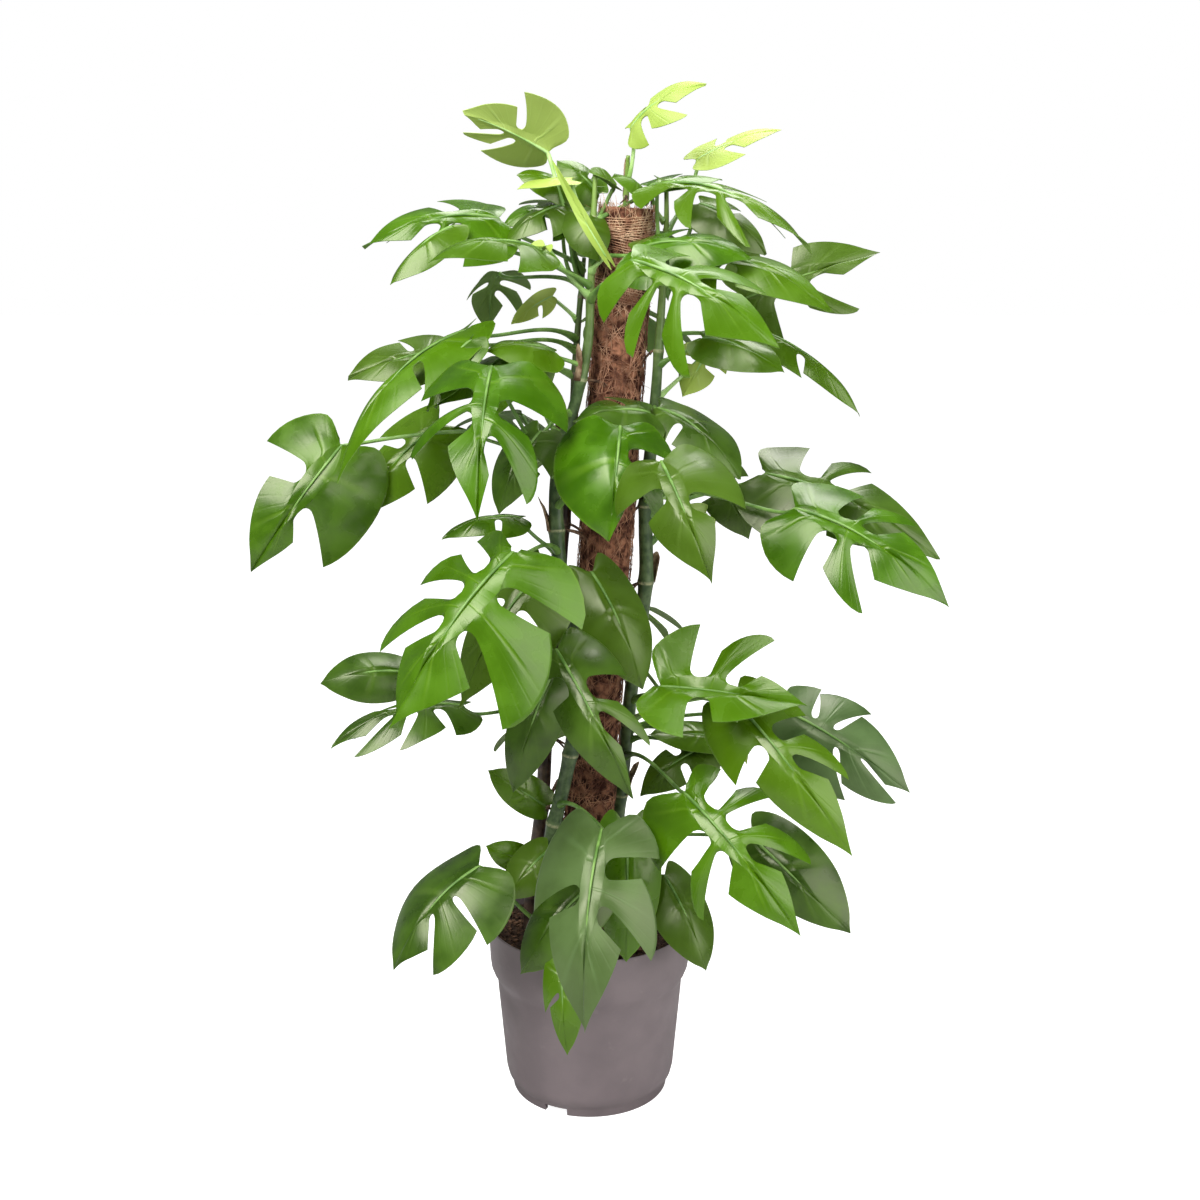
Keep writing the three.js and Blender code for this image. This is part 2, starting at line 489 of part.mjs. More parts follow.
// One leaf as one closed body: the blade's two faces and rim, and a three-sided stalk that grows
// out of a small patch of the lower face at the blade's foot.
function leafBody({ points, faces, patchAt }, axes, stem, height, foot) {
  const count = points.length;
  const lower = points.map((p) => p.clone().addScaledVector(axes.out, -BLADE_THICKNESS));
  const all = [...points, ...lower];
  const triangles = [];
  const edges = new Set(faces.flatMap(([a, b, c]) => [`${a} ${b}`, `${b} ${c}`, `${c} ${a}`]));
  for (const edge of edges) {
    const [a, b] = edge.split(' ').map(Number);
    if (!edges.has(`${b} ${a}`)) triangles.push([b, a, a + count], [b, a + count, b + count]);
  }
  faces.forEach(([a, b, c], i) => {
    triangles.push([a, b, c]);
    if (i !== patchAt) triangles.push([a + count, c + count, b + count]);
  });

  // the patch: a small triangle inside one of the lower face
  const frame = faces[patchAt].map((k) => k + count);
  const [origin, first, second] = frame.map((k) => all[k]);
  const patch = STALK_PATCH.map(([f, g]) => origin.clone()
    .addScaledVector(first.clone().sub(origin), f).addScaledVector(second.clone().sub(origin), g));
  const inner = patch.map((p) => all.push(p) - 1);
  for (let k = 0; k < 3; k += 1) {
    const next = (k + 1) % 3;
    triangles.push([frame[next], frame[k], inner[k]], [frame[next], inner[k], inner[next]]);
  }

  // the stalk: rings from the scar to the patch
  const end = patch[0].clone().add(patch[1]).add(patch[2]).divideScalar(3);
  const { root, out } = scarOn(stem, height, foot);
  const span = root.distanceTo(end);
  const rise = new THREE.Vector3(0, 0, STALK_RISES * span);
  const leaving = root.clone().addScaledVector(out, STALK_LEAVES * span).add(rise);
  const meeting = end.clone().addScaledVector(out, -STALK_MEETS * span)
    .addScaledVector(axes.out, -STALK_DROPS * span);
  const curve = new THREE.CubicBezierCurve3(root, leaving, meeting, end);
  const rings = [];
  for (const [way, thickness] of STALK_RINGS) {
    const along = way === 0 ? out : curve.getTangent(way);
    const corners = threeRound(curve.getPoint(way), along, STALK_RADIUS * thickness);
    rings.push(corners.map((p) => all.push(p) - 1));
  }
  const shifts = [0, 1, 2].map((shift) => inner.map((_, k) => inner[(k + shift) % 3]));
  const before = rings[rings.length - 1];
  const reach = (ring) => ring.reduce((sum, p, k) => sum + all[p].distanceTo(all[before[k]]), 0);
  rings.push(shifts.sort((p, q) => reach(p) - reach(q))[0]);
  triangles.push([rings[0][2], rings[0][1], rings[0][0]]);
  for (let i = 0; i < rings.length - 1; i += 1) {
    for (let k = 0; k < 3; k += 1) {
      const next = (k + 1) % 3;
      const [a, b, c, d] = [rings[i][k], rings[i][next], rings[i + 1][next], rings[i + 1][k]];
      if (all[a].distanceTo(all[c]) < all[b].distanceTo(all[d])) {
        triangles.push([a, b, c], [a, c, d]);
      } else {
        triangles.push([a, b, d], [b, c, d]);
      }
    }
  }
  return geometryFrom(all, triangles);
}

for (const [stem, rows] of Object.entries(LEAVES)) {
  for (const [name, height, footAt, tipAt, width, looks, left, right, gape, form, tone] of rows) {
    const foot = vec(footAt);
    const tip = vec(tipAt);
    const axes = bladeAxes(foot, tip, looks);
    const cuts = [left, right].map((half) => half.map((cut) => cut / 100));
    const sheet = bladeSheet(foot, tip, width, axes, cuts, gape / 100, form);
    finish(`leaf_${name}`, leafBody(sheet, axes, stem, height, foot), tone, 0.45);
  }
}

export default group;
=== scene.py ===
import math
import random

import bpy
import numpy as np
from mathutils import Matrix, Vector


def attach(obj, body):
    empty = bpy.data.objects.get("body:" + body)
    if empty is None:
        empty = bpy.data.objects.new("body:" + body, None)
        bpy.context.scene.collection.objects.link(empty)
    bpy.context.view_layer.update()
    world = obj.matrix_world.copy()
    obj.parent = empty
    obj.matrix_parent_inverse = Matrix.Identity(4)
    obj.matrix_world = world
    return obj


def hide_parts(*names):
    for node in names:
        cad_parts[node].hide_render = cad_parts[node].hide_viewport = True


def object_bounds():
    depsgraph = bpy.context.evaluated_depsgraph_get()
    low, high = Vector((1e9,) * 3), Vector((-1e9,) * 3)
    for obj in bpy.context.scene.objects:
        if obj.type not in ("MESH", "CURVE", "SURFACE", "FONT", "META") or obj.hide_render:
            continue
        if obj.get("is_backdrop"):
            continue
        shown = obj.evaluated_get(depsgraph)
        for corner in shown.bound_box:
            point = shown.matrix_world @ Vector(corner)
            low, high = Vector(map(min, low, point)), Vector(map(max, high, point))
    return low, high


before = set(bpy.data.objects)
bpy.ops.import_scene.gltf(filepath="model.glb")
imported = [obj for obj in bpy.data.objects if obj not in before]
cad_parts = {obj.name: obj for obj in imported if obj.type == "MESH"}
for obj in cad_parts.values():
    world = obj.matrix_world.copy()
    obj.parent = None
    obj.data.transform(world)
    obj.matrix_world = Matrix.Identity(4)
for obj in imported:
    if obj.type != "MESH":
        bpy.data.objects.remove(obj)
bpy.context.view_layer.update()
scene = bpy.context.scene

# ---- camera ----
# Stands a little above the plant's crown and looks slightly down on it, square to its front.
CAMERA_PLACE = (0.0098, -1.424, 0.815)
CAMERA_TILT = math.radians(76.41)
CAMERA_LENS = 49.17  # on a sensor 36 mm wide
bpy.ops.object.camera_add(location=CAMERA_PLACE, rotation=(CAMERA_TILT, 0, 0))
camera = bpy.context.object
camera.data.sensor_width = 36
camera.data.lens = CAMERA_LENS
scene.camera = camera

# ---- studio: light and floor ----
# A white room with a large soft box high on the left, a weaker one on the right and a third high
# behind that lights the leaves through. The floor is pale matte board.
scene.view_settings.view_transform = "Standard"
ROOM_LIGHT = 0.15
ROOM_SEEN = 1.0
FLOOR_GLOW = 0.96
LAMPS = {  # place, what it points at, side, watts
    "key_box": ((-0.8, -1.2, 2.1), (0.0, 0.0, 0.5), 1.5, 76),
    "fill_box": ((1.5, -1.3, 1.2), (0.0, 0.0, 0.45), 1.8, 34),
    "rear_box": ((0.3, 0.9, 2.3), (0.0, 0.0, 0.6), 1.2, 34),
}
world = bpy.data.worlds.new("room")
scene.world = world
world.use_nodes = True
for lamp_name, (place, aim, side, watts) in LAMPS.items():
    bpy.ops.object.light_add(type="AREA", location=place)
    lamp = bpy.context.object
    lamp.name = lamp_name
    lamp.data.size = side
    lamp.data.energy = watts
    lamp.rotation_euler = (Vector(aim) - Vector(place)).to_track_quat("-Z", "Y").to_euler()


def node(tree, kind, **inputs):
    """Adds a node and sets or links its inputs by name; a name starting with _ is a setting."""
    made = tree.nodes.new(kind)
    for key, value in inputs.items():
        if key.startswith("_"):
            setattr(made, key[1:], value)
            continue
        slot = made.inputs[int(key[1:])] if key[1:].isdigit() else made.inputs[key.replace("_", " ")]
        if isinstance(value, bpy.types.NodeSocket):
            tree.links.new(value, slot)
        else:
            slot.default_value = value
    return made


def math_node(tree, operation, first, second=0.0):
    return node(tree, "ShaderNodeMath", _operation=operation, i0=first, i1=second).outputs[0]


def times(tree, first, second):
    return math_node(tree, "MULTIPLY", first, second)


def new_material(name, colour, roughness, specular=0.5):
    """A Principled material; returns it with its node tree and shader."""
    material = bpy.data.materials.new(name)
    material.use_nodes = True
    shader = material.node_tree.nodes["Principled BSDF"]
    shader.inputs["Base Color"].default_value = (*colour, 1.0)
    shader.inputs["Roughness"].default_value = roughness
    shader.inputs["Specular IOR Level"].default_value = specular
    return material, material.node_tree, shader


tree = world.node_tree
room = tree.nodes["Background"]
room.inputs["Strength"].default_value = ROOM_LIGHT
room.inputs["Color"].default_value = (1.0, 1.0, 1.0, 1.0)
wall = node(tree, "ShaderNodeBackground", Color=(1.0, 1.0, 1.0, 1.0), Strength=ROOM_SEEN)
seen = node(tree, "ShaderNodeLightPath").outputs["Is Camera Ray"]
both = node(tree, "ShaderNodeMixShader", Fac=seen, i1=room.outputs[0], i2=wall.outputs[0])
tree.links.new(both.outputs[0], tree.nodes["World Output"].inputs["Surface"])

bpy.ops.object.select_all(action="DESELECT")
bpy.ops.mesh.primitive_plane_add(size=16, location=(0, 3, 0))
floor = bpy.context.object
floor.name = "floor"
floor_board, tree, shader = new_material("floor_board", (0.5, 0.5, 0.498), 0.9, 0.1)
shader.inputs["Emission Color"].default_value = (1.0, 1.0, 1.0, 1.0)
seen = node(tree, "ShaderNodeLightPath").outputs["Is Camera Ray"]
tree.links.new(times(tree, seen, FLOOR_GLOW), shader.inputs["Emission Strength"])
floor.data.materials.append(floor_board)
floor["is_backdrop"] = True


# ---- pot ----
# A thermoformed nursery pot in warm grey plastic: turned band under the rim, tapered body,
# rounded heel, narrow foot with three drain notches. One moulding, drawn ring by ring.
def ramp(tree, factor, low, high, out_low=0.0, out_high=1.0):
    """Maps a factor from low..high to out_low..out_high, clamped, with soft ends."""
    made = node(tree, "ShaderNodeMapRange", _interpolation_type="SMOOTHSTEP", Value=factor,
                From_Min=low, From_Max=high, To_Min=out_low, To_Max=out_high)
    return made.outputs["Result"]


def blend_colour(tree, factor, first, second):
    """Mixes two colours, each a socket or a linear RGB triple."""
    first, second = ((*c, 1.0) if isinstance(c, tuple) else c for c in (first, second))
    made = node(tree, "ShaderNodeMix", _data_type="RGBA", i0=factor, i6=first, i7=second)
    return made.outputs[2]


def own_place(tree):
    """Where a point lies in its piece's own coordinates."""
    return node(tree, "ShaderNodeTexCoord").outputs["Object"]


def noise(tree, scale, detail):
    """Fractal noise on the piece's own coordinates, as a value socket."""
    return node(tree, "ShaderNodeTexNoise", Vector=own_place(tree), Scale=scale,
                Detail=detail).outputs["Fac"]


def two_tone(tree, factor, low, high, dark, light):
    """From dark to light as a factor goes from low to high."""
    return blend_colour(tree, ramp(tree, factor, low, high), dark, light)


def add_bump(tree, shader, height, strength, distance):
    bump = node(tree, "ShaderNodeBump", Height=height, Strength=strength, Distance=distance)
    tree.links.new(bump.outputs["Normal"], shader.inputs["Normal"])


def finish_skin(tree, shader, colour, roughness=None):
    """Wires a finished colour, and a roughness where it varies, to the shader."""
    tree.links.new(colour, shader.inputs["Base Color"])
    if roughness:
        tree.links.new(roughness, shader.inputs["Roughness"])


POT_RINGS = [  # radius, height: out from under the foot, up, in, down
    (0.068, 0.009), (0.0685, 0.0), (0.0729, 0.0), (0.0737, 0.0072), (0.0752, 0.0096),
    (0.0775, 0.0135), (0.0792, 0.0205), (0.0861, 0.1), (0.0866, 0.1085), (0.0878, 0.1125),
    (0.0905, 0.1175), (0.0924, 0.1225), (0.0932, 0.129), (0.0944, 0.1635), (0.0941, 0.165),
    (0.093, 0.165), (0.0912, 0.125), (0.0855, 0.11), (0.0845, 0.102), (0.074, 0.017),
    (0.071, 0.011),
]
POT_SIDES = 128
NOTCH_TURNS = (-25, 95, 215)  # degrees from the front, towards +X
NOTCH_SIZE = (0.022, 0.016, 0.013)
NOTCH_OUT = 0.073  # from the pot's axis to the middle of a notch
LIP_BEVEL = 0.0004


def deselect_all():
    if bpy.context.object and bpy.context.object.mode != "OBJECT":
        bpy.ops.object.mode_set(mode="OBJECT")
    bpy.ops.object.select_all(action="DESELECT")


def select_only(piece):
    deselect_all()
    bpy.context.view_layer.objects.active = piece
    piece.select_set(True)


def face_outward():
    """Ends an edit with every face of the piece turned outward."""
    bpy.ops.mesh.select_all(action="SELECT")
    bpy.ops.mesh.normals_make_consistent(inside=False)
    bpy.ops.object.mode_set(mode="OBJECT")


def apply_all(piece):
    """Applies a piece's modifiers and puts its place into its mesh."""
    select_only(piece)
    for modifier in list(piece.modifiers):
        bpy.ops.object.modifier_apply(modifier=modifier.name)
    bpy.ops.object.transform_apply(location=True, rotation=True, scale=True)


def dress(piece, name, slot, *nodes):
    """Names a finished piece, lets it ride on the plant and hides the solids it stands for."""
    piece.name = name
    piece.data.name = name
    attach(piece, "root")
    if nodes:
        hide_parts(*nodes)


deselect_all()
radius, height = POT_RINGS[0]
bpy.ops.mesh.primitive_circle_add(vertices=POT_SIDES, radius=radius, fill_type="NGON",
                                  location=(0, 0, height))
pot = bpy.context.object
bpy.ops.object.transform_apply(location=True)
bpy.ops.object.mode_set(mode="EDIT")
bpy.ops.mesh.select_all(action="SELECT")
for next_radius, next_height in POT_RINGS[1:]:
    bpy.ops.mesh.extrude_region_move(
        TRANSFORM_OT_translate={"value": (0, 0, next_height - height)})
    grow = next_radius / radius
    bpy.ops.transform.resize(value=(grow, grow, 1), center_override=(0, 0, next_height))
    radius, height = next_radius, next_height
face_outward()
for turn in NOTCH_TURNS:
    angle = math.radians(turn)
    deselect_all()
    bpy.ops.mesh.primitive_cube_add(size=1, rotation=(0, 0, angle),
                                    location=(NOTCH_OUT * math.sin(angle),
                                              -NOTCH_OUT * math.cos(angle), 0))
    notch = bpy.context.object
    notch.scale = NOTCH_SIZE
    cut = pot.modifiers.new("notch", "BOOLEAN")
    cut.object = notch
    cut.operation = "DIFFERENCE"
    apply_all(pot)
    bpy.data.objects.remove(notch)
soften = pot.modifiers.new("soften", "BEVEL")
soften.width = LIP_BEVEL
soften.segments = 2
soften.limit_method = "ANGLE"
soften.angle_limit = math.radians(32)
apply_all(pot)
bpy.ops.object.shade_smooth_by_angle(angle=math.radians(35))

pot_plastic, tree, shader = new_material("pot_plastic", (0.2, 0.163, 0.163), 0.48, 0.4)
mottle = noise(tree, 26, 4)
colour = two_tone(tree, mottle, 0.3, 0.75, (0.222, 0.18, 0.186), (0.195, 0.158, 0.165))
dust = ramp(tree, noise(tree, 90, 6), 0.62, 0.8, 0.0, 0.25)
colour = blend_colour(tree, dust, colour, (0.33, 0.29, 0.275))
finish_skin(tree, shader, colour, ramp(tree, mottle, 0.3, 0.7, 0.42, 0.58))
add_bump(tree, shader, noise(tree, 900, 2), 0.12, 0.0003)
pot.data.materials.append(pot_plastic)
dress(pot, "nursery_pot", "pot", "pot")

# ---- soil ----
# Damp peat heaped a little towards the vines, with crumbs and short coir fibres on top. The
# crumbs and fibres lie half sunk in it.
SOIL_TOP = 0.153
SOIL_RADIUS = 0.0912
SOIL_DEPTH = 0.05
HEAP, HEAP_REACH, UNEVEN = 0.0035, 0.07, 0.0022  # rise in the middle, how far out, dips
CRUMBS, CRUMB_SIZES = 900, (0.0012, 0.0016, 0.0022, 0.003)
SOIL_FIBRES, SOIL_FIBRE_RADIUS = 260, 0.00028
SOIL_EDGE = 0.089  # no fibre lies further out than this


def mesh_piece(name, points, faces):
    """A new object from points and faces, linked to the scene."""
    mesh = bpy.data.meshes.new(name)
    mesh.from_pydata([tuple(p) for p in points], [], faces)
    mesh.update()
    piece = bpy.data.objects.new(name, mesh)
    scene.collection.objects.link(piece)
    return piece


def tube(points, radii, sides):
    """Points and faces of a closed tube with a radius at each point."""
    points = np.asarray(points, float)
    ways = np.gradient(points, axis=0)
    ways /= np.linalg.norm(ways, axis=1)[:, None]
    side = np.cross(ways[0], (0.3, 0.5, 0.81))  # square to its start, whichever way round
    turns = 2 * math.pi * (np.arange(sides) + 0.5) / sides
    rings = []
    for point, way, radius in zip(points, ways, radii):
        side = side - way * side.dot(way)
        side /= np.linalg.norm(side)
        up = np.cross(way, side)
        rings.append(point + radius * (np.cos(turns)[:, None] * side + np.sin(turns)[:, None] * up))
    faces = []
    for i in range(len(points) - 1):
        for k in range(sides):
            a, b = i * sides + k, i * sides + (k + 1) % sides
            faces.append((a, b, b + sides, a + sides))
    last = (len(points) - 1) * sides
    faces.append(tuple(range(sides - 1, -1, -1)))
    faces.append(tuple(range(last, last + sides)))
    return np.concatenate(rings), faces


def gather(parts):
    """Several (points, faces) as one."""
    points, faces, start = [], [], 0
    for some_points, some_faces in parts:
        points.append(some_points)
        faces += [tuple(k + start for k in face) for face in some_faces]
        start += len(some_points)
    return np.concatenate(points), faces


def crumb(centre, size, chance):
    """A lump of eight corners, knocked out of true."""
    corners = np.array([(x, y, z) for z in (-1, 1) for y in (-1, 1) for x in (-1, 1)], float)
    corners *= size * np.array([chance.uniform(0.4, 0.7) for _ in range(24)]).reshape(8, 3)
    turn = chance.uniform(0, math.pi)
    spin = np.array([[math.cos(turn), -math.sin(turn), 0], [math.sin(turn), math.cos(turn), 0],
                     [0, 0, 1]])
    faces = [(0, 2, 3, 1), (4, 5, 7, 6), (0, 1, 5, 4), (1, 3, 7, 5), (3, 2, 6, 7), (2, 0, 4, 6)]
    return corners @ spin.T + centre, faces


def soil_height(x, y):
    away = math.hypot(x, y)
    swell = HEAP * max(0.0, 1 - (away / HEAP_REACH) ** 2)
    return SOIL_TOP - 0.003 + swell + UNEVEN * math.sin(61 * x + 1) * math.sin(53 * y + 2)


def litter_spot(share):
    """A random place on the soil, no further out than a share of its radius."""
    away, turn = SOIL_RADIUS * share * math.sqrt(chance.random()), chance.uniform(0, 2 * math.pi)
    return away * math.cos(turn), away * math.sin(turn)


def mottled(name, colour, roughness, specular, grain, tones, bump=None):
    """A dull material in two tones of one noise, (scale, detail), that may also raise it."""
    material, tree, shader = new_material(name, colour, roughness, specular)
    pattern = noise(tree, *grain)
    finish_skin(tree, shader, two_tone(tree, pattern, *tones))
    if bump:
        add_bump(tree, shader, pattern, *bump)
    return material


deselect_all()
bpy.ops.mesh.primitive_grid_add(x_subdivisions=90, y_subdivisions=90, size=2 * SOIL_RADIUS)
soil_top = bpy.context.object
ground = soil_top.data
chance = random.Random(11)
for vertex in ground.vertices:
    x, y = vertex.co.x, vertex.co.y
    reach = max(abs(x), abs(y))
    if reach > 0:  # the square's rings become circles
        squeeze = reach / math.hypot(x, y)
        x, y = x * squeeze, y * squeeze
    vertex.co = (x, y, soil_height(x, y) + chance.uniform(-0.0009, 0.0009))
bpy.ops.object.mode_set(mode="EDIT")
bpy.ops.mesh.select_all(action="SELECT")
bpy.ops.mesh.extrude_region_move(TRANSFORM_OT_translate={"value": (0, 0, -SOIL_DEPTH)})
bpy.ops.transform.resize(value=(0.9, 0.9, 0.02), center_override=(0, 0, SOIL_TOP - SOIL_DEPTH))
face_outward()
bpy.ops.object.shade_smooth()
litter = []
for _ in range(CRUMBS):
    x, y = litter_spot(0.97)
    size = chance.choice(CRUMB_SIZES)
    litter.append(crumb(np.array([x, y, soil_height(x, y) + 0.2 * size]), size, chance))
for _ in range(SOIL_FIBRES):
    x, y = litter_spot(0.93)
    heading, length = chance.uniform(0, 2 * math.pi), chance.uniform(0.004, 0.012)
    bow = chance.uniform(0.0004, 0.0022)
    route = []
    for step in np.linspace(-1, 1, 5):
        px = x + 0.5 * length * step * math.cos(heading)
        py = y + 0.5 * length * step * math.sin(heading)
        px, py = np.array([px, py]) * min(1, SOIL_EDGE / max(math.hypot(px, py), 1e-6))
        route.append((px, py, soil_height(px, py) + 0.0004 + bow * (1 - step * step)))
    litter.append(tube(route, [SOIL_FIBRE_RADIUS] * 5, 3))
litter_piece = mesh_piece("soil_litter", *gather(litter))

soil_top.data.materials.append(
    mottled("soil_peat", (0.035, 0.02, 0.013), 0.92, 0.2, (240, 6),
            (0.35, 0.7, (0.018, 0.01, 0.007), (0.075, 0.042, 0.026)), (0.8, 0.0015)))
litter_piece.data.materials.append(
    mottled("soil_litter", (0.11, 0.06, 0.035), 0.9, 0.2, (160, 3),
            (0.4, 0.62, (0.03, 0.016, 0.01), (0.17, 0.095, 0.055))))
dress(soil_top, "soil_bed", "soil", "soil")
dress(litter_piece, "soil_crumbs", "soil")

# ---- climbing pole ----
# A softwood stake in a thick sleeve of coconut fibre. The sleeve is a matted core with long
# loose fibres lying over it in every direction and standing up ragged round its top; three
# flat bands of fibre bind it near the top.
POLE_FOOT = np.array((-0.017, 0.0, 0.013))
POLE_TOP = np.array((0.033, 0.0, 0.812))
POLE_RADIUS = 0.024
FIBRE_COUNT = 2300
FIBRE_RADIUS = 0.00026
FIBRE_LEVEL = 0.15  # fibres start just under the soil's top
STRAY_FIBRES, STRAY_AT_TOP = 420, 0.62  # stray ends, and the share of them round the top
BANDS = ((0.955, 0.35), (0.9, -0.3), (0.972, 0.1))  # height as a share of the pole, pitch
BAND_STRANDS, BAND_STRAND_RADIUS = 9, 0.0004
pole_length = float(np.linalg.norm(POLE_TOP - POLE_FOOT))
pole_way = (POLE_TOP - POLE_FOOT) / pole_length
pole_side = np.array((0.0, 1.0, 0.0))
pole_front = np.cross(pole_side, pole_way)
soil_share = (FIBRE_LEVEL - POLE_FOOT[2]) / (POLE_TOP[2] - POLE_FOOT[2])


def on_pole(share, turn, radius):
    """A point round the pole: share of its length, turn in radians, distance from its axis."""
    centre = POLE_FOOT + pole_way * pole_length * share
    return centre + radius * (math.cos(turn) * pole_side + math.sin(turn) * pole_front)


def smooth_shade(piece):
    for polygon in piece.data.polygons:
        polygon.use_smooth = True


deselect_all()
bpy.ops.mesh.primitive_cylinder_add(vertices=72, radius=POLE_RADIUS - 0.0022,
                                    depth=pole_length * (1 - soil_share), end_fill_type="NGON")
mat_core = bpy.context.object
bpy.ops.object.mode_set(mode="EDIT")
bpy.ops.mesh.select_all(action="DESELECT")
bpy.ops.object.mode_set(mode="OBJECT")
for edge in mat_core.data.edges:
    a, b = (mat_core.data.vertices[i].co for i in edge.vertices)
    edge.select = abs(a.z - b.z) > 0.1
bpy.ops.object.mode_set(mode="EDIT")
bpy.ops.mesh.select_mode(type="EDGE")
bpy.ops.mesh.subdivide_edgering(number_cuts=160, smoothness=0)
bpy.ops.object.mode_set(mode="OBJECT")
chance = random.Random(5)
core_middle = POLE_FOOT + pole_way * pole_length * (1 + soil_share) / 2
for vertex in mat_core.data.vertices:
    x, y, z = vertex.co
    rough = 1 + chance.uniform(-0.035, 0.035) + 0.03 * math.sin(9 * math.atan2(y, x) + 70 * z)
    vertex.co = core_middle + pole_way * z + rough * (x * pole_front + y * pole_side)
bpy.ops.object.shade_smooth()

fibres = []
for _ in range(FIBRE_COUNT):
    share = chance.uniform(soil_share, 0.995)
    turn = chance.uniform(0, 2 * math.pi)
    slant = chance.gauss(0, 0.75)
    length = chance.uniform(0.016, 0.05)
    lift = chance.uniform(-0.0006, 0.0016)
    wave = chance.uniform(-0.5, 0.5)
    route = []
    for step in np.linspace(-0.5, 0.5, 7):
        along = share + math.cos(slant) * length * step / pole_length
        around = turn + (math.sin(slant) * length * step + wave * length * step * step) / POLE_RADIUS
        stand = POLE_RADIUS - 0.0004 + lift * (1 - 2 * abs(step)) + chance.uniform(-0.0003, 0.0003)
        route.append(on_pole(min(along, 1.004), around, stand))
    fibres.append(tube(route, [FIBRE_RADIUS] * len(route), 3))
for _ in range(STRAY_FIBRES):  # the ragged top, and stray ends down the sides
    at_top = chance.random() < STRAY_AT_TOP
    share = chance.uniform(0.965, 1.0) if at_top else chance.uniform(0.2, 0.96)
    turn, length = chance.uniform(0, 2 * math.pi), chance.uniform(0.005, 0.013 if at_top else 0.008)
    root_radius = chance.uniform(0.013, POLE_RADIUS) if at_top else POLE_RADIUS - 0.0005
    root = on_pole(min(share, 0.996), turn, root_radius)
    outward = on_pole(share, turn, 1) - on_pole(share, turn, 0)
    rise = 0.75 if at_top else chance.uniform(-0.8, 0.8)
    way = outward * chance.uniform(0.1, 0.8) + pole_way * rise
    curl = np.array([chance.uniform(-1, 1) for _ in range(3)]) * 0.5
    route = [root + length * (way * step + curl * step * step) for step in np.linspace(0, 1, 5)]
    fibres.append(tube(route, [FIBRE_RADIUS, FIBRE_RADIUS, 0.00024, 0.0002, 0.00014], 3))
for share, pitch in BANDS:
    for strand in range(BAND_STRANDS):
        route = []
        for turn in np.linspace(0, 2 * math.pi, 29):
            along = share + (0.0021 * strand + 0.004 * math.sin(turn + pitch * 9)
                             + chance.uniform(-0.0005, 0.0005)) / pole_length
            route.append(on_pole(min(along, 0.999), turn, POLE_RADIUS + 0.0004
                                 + chance.uniform(0, 0.0007)))
        fibres.append(tube(route, [BAND_STRAND_RADIUS] * len(route), 3))
fibre_piece = mesh_piece("pole_fibres", *gather(fibres))
smooth_shade(fibre_piece)

mat_core.data.materials.append(
    mottled("coir_mat", (0.13, 0.05, 0.03), 0.95, 0.15, (130, 8),
            (0.38, 0.64, (0.045, 0.014, 0.008), (0.33, 0.15, 0.085)), (1.0, 0.002)))
coir_fibre, tree, shader = new_material("coir_fibre", (0.4, 0.2, 0.12), 0.75, 0.3)
height = node(tree, "ShaderNodeSeparateXYZ", Vector=own_place(tree)).outputs["Z"]
strands = noise(tree, 75, 5)
low_fibre = two_tone(tree, strands, 0.36, 0.66, (0.105, 0.036, 0.02), (0.5, 0.26, 0.155))
# From 0.66 m to 0.8 m up the fibres blend into a lighter colour: a painted highlight where the lamps catch
# the pole's top.
top_fibre_painted_highlight = two_tone(tree, strands, 0.36, 0.66, (0.36, 0.185, 0.105), (0.74, 0.5, 0.32))
finish_skin(tree, shader, two_tone(tree, height, 0.66, 0.8, low_fibre, top_fibre_painted_highlight))
fibre_piece.data.materials.append(coir_fibre)
dress(mat_core, "pole_mat", "coir")
dress(fibre_piece, "pole_fibres", "coir", "pole_coir")

stake_wood, tree, shader = new_material("stake_wood", (0.43, 0.27, 0.13), 0.7, 0.3)
place = node(tree, "ShaderNodeMapping", Vector=own_place(tree), Scale=(420, 420, 14)).outputs[0]
grain = node(tree, "ShaderNodeTexNoise", Vector=place, Scale=1.0, Detail=4.0).outputs["Fac"]
finish_skin(tree, shader, two_tone(tree, grain, 0.3, 0.7, (0.33, 0.18, 0.08), (0.52, 0.35, 0.18)))
add_bump(tree, shader, grain, 0.3, 0.0004)
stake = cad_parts["pole_core"]
stake.data.materials.clear()
stake.data.materials.append(stake_wood)

# ---- vines ----
# Four climbing stems, thick as a finger, satin green with a pale raised ring and a swelling at
# each node; the oldest has turned purple brown. Short brown air roots grow from the nodes
# towards the pole, and papery dry sheaths hang on at some of them.
MM = 0.001
VINES = {
    "front": [(-40, -34, 70), (-40, -34, 165), (-38, -32, 215), (-34, -34, 263), (-24, -36, 305),
              (-16, -38, 340), (-10, -38, 380), (-12, -36, 440), (-26, -28, 520), (-26, -22, 600),
              (-10, -28, 655), (0, -30, 700), (2, -24, 750), (4, -20, 800), (6, -16, 838)],
    "right": [(24, 26, 70), (24, 26, 165), (26, 26, 250), (36, 22, 350), (44, 14, 431),
              (51, 10, 490), (51, 10, 542), (52, 8, 580), (56, 2, 631), (59, -6, 670),
              (63, -4, 740), (66, 4, 800), (66, 8, 830)],
    "back": [(-12, 44, 70), (-12, 44, 165), (-2, 38, 300), (8, 35, 450), (16, 35, 600),
             (24, 36, 700), (31, 36, 800), (34, 28, 855)],
    "left": [(-56, 14, 70), (-56, 14, 165), (-44, 14, 280), (-36, 12, 400), (-26, 16, 500),
             (-16, 20, 600), (-10, 22, 700), (-4, 24, 770)],
}
VINE_RADIUS = 6.3 * MM
RING_STEP = 34 * MM  # every second ring is a node
RING_SWELL = 1.35 * MM
VINE_TAPER = 11  # it thins to its growing tip over this many rings
VINE_SIDES = 18
ROUTE_STEP = 2 * MM  # between the points of a vine's route
SHEATH_CHANCE = 0.42  # a dry sheath still clasps at this share of the nodes


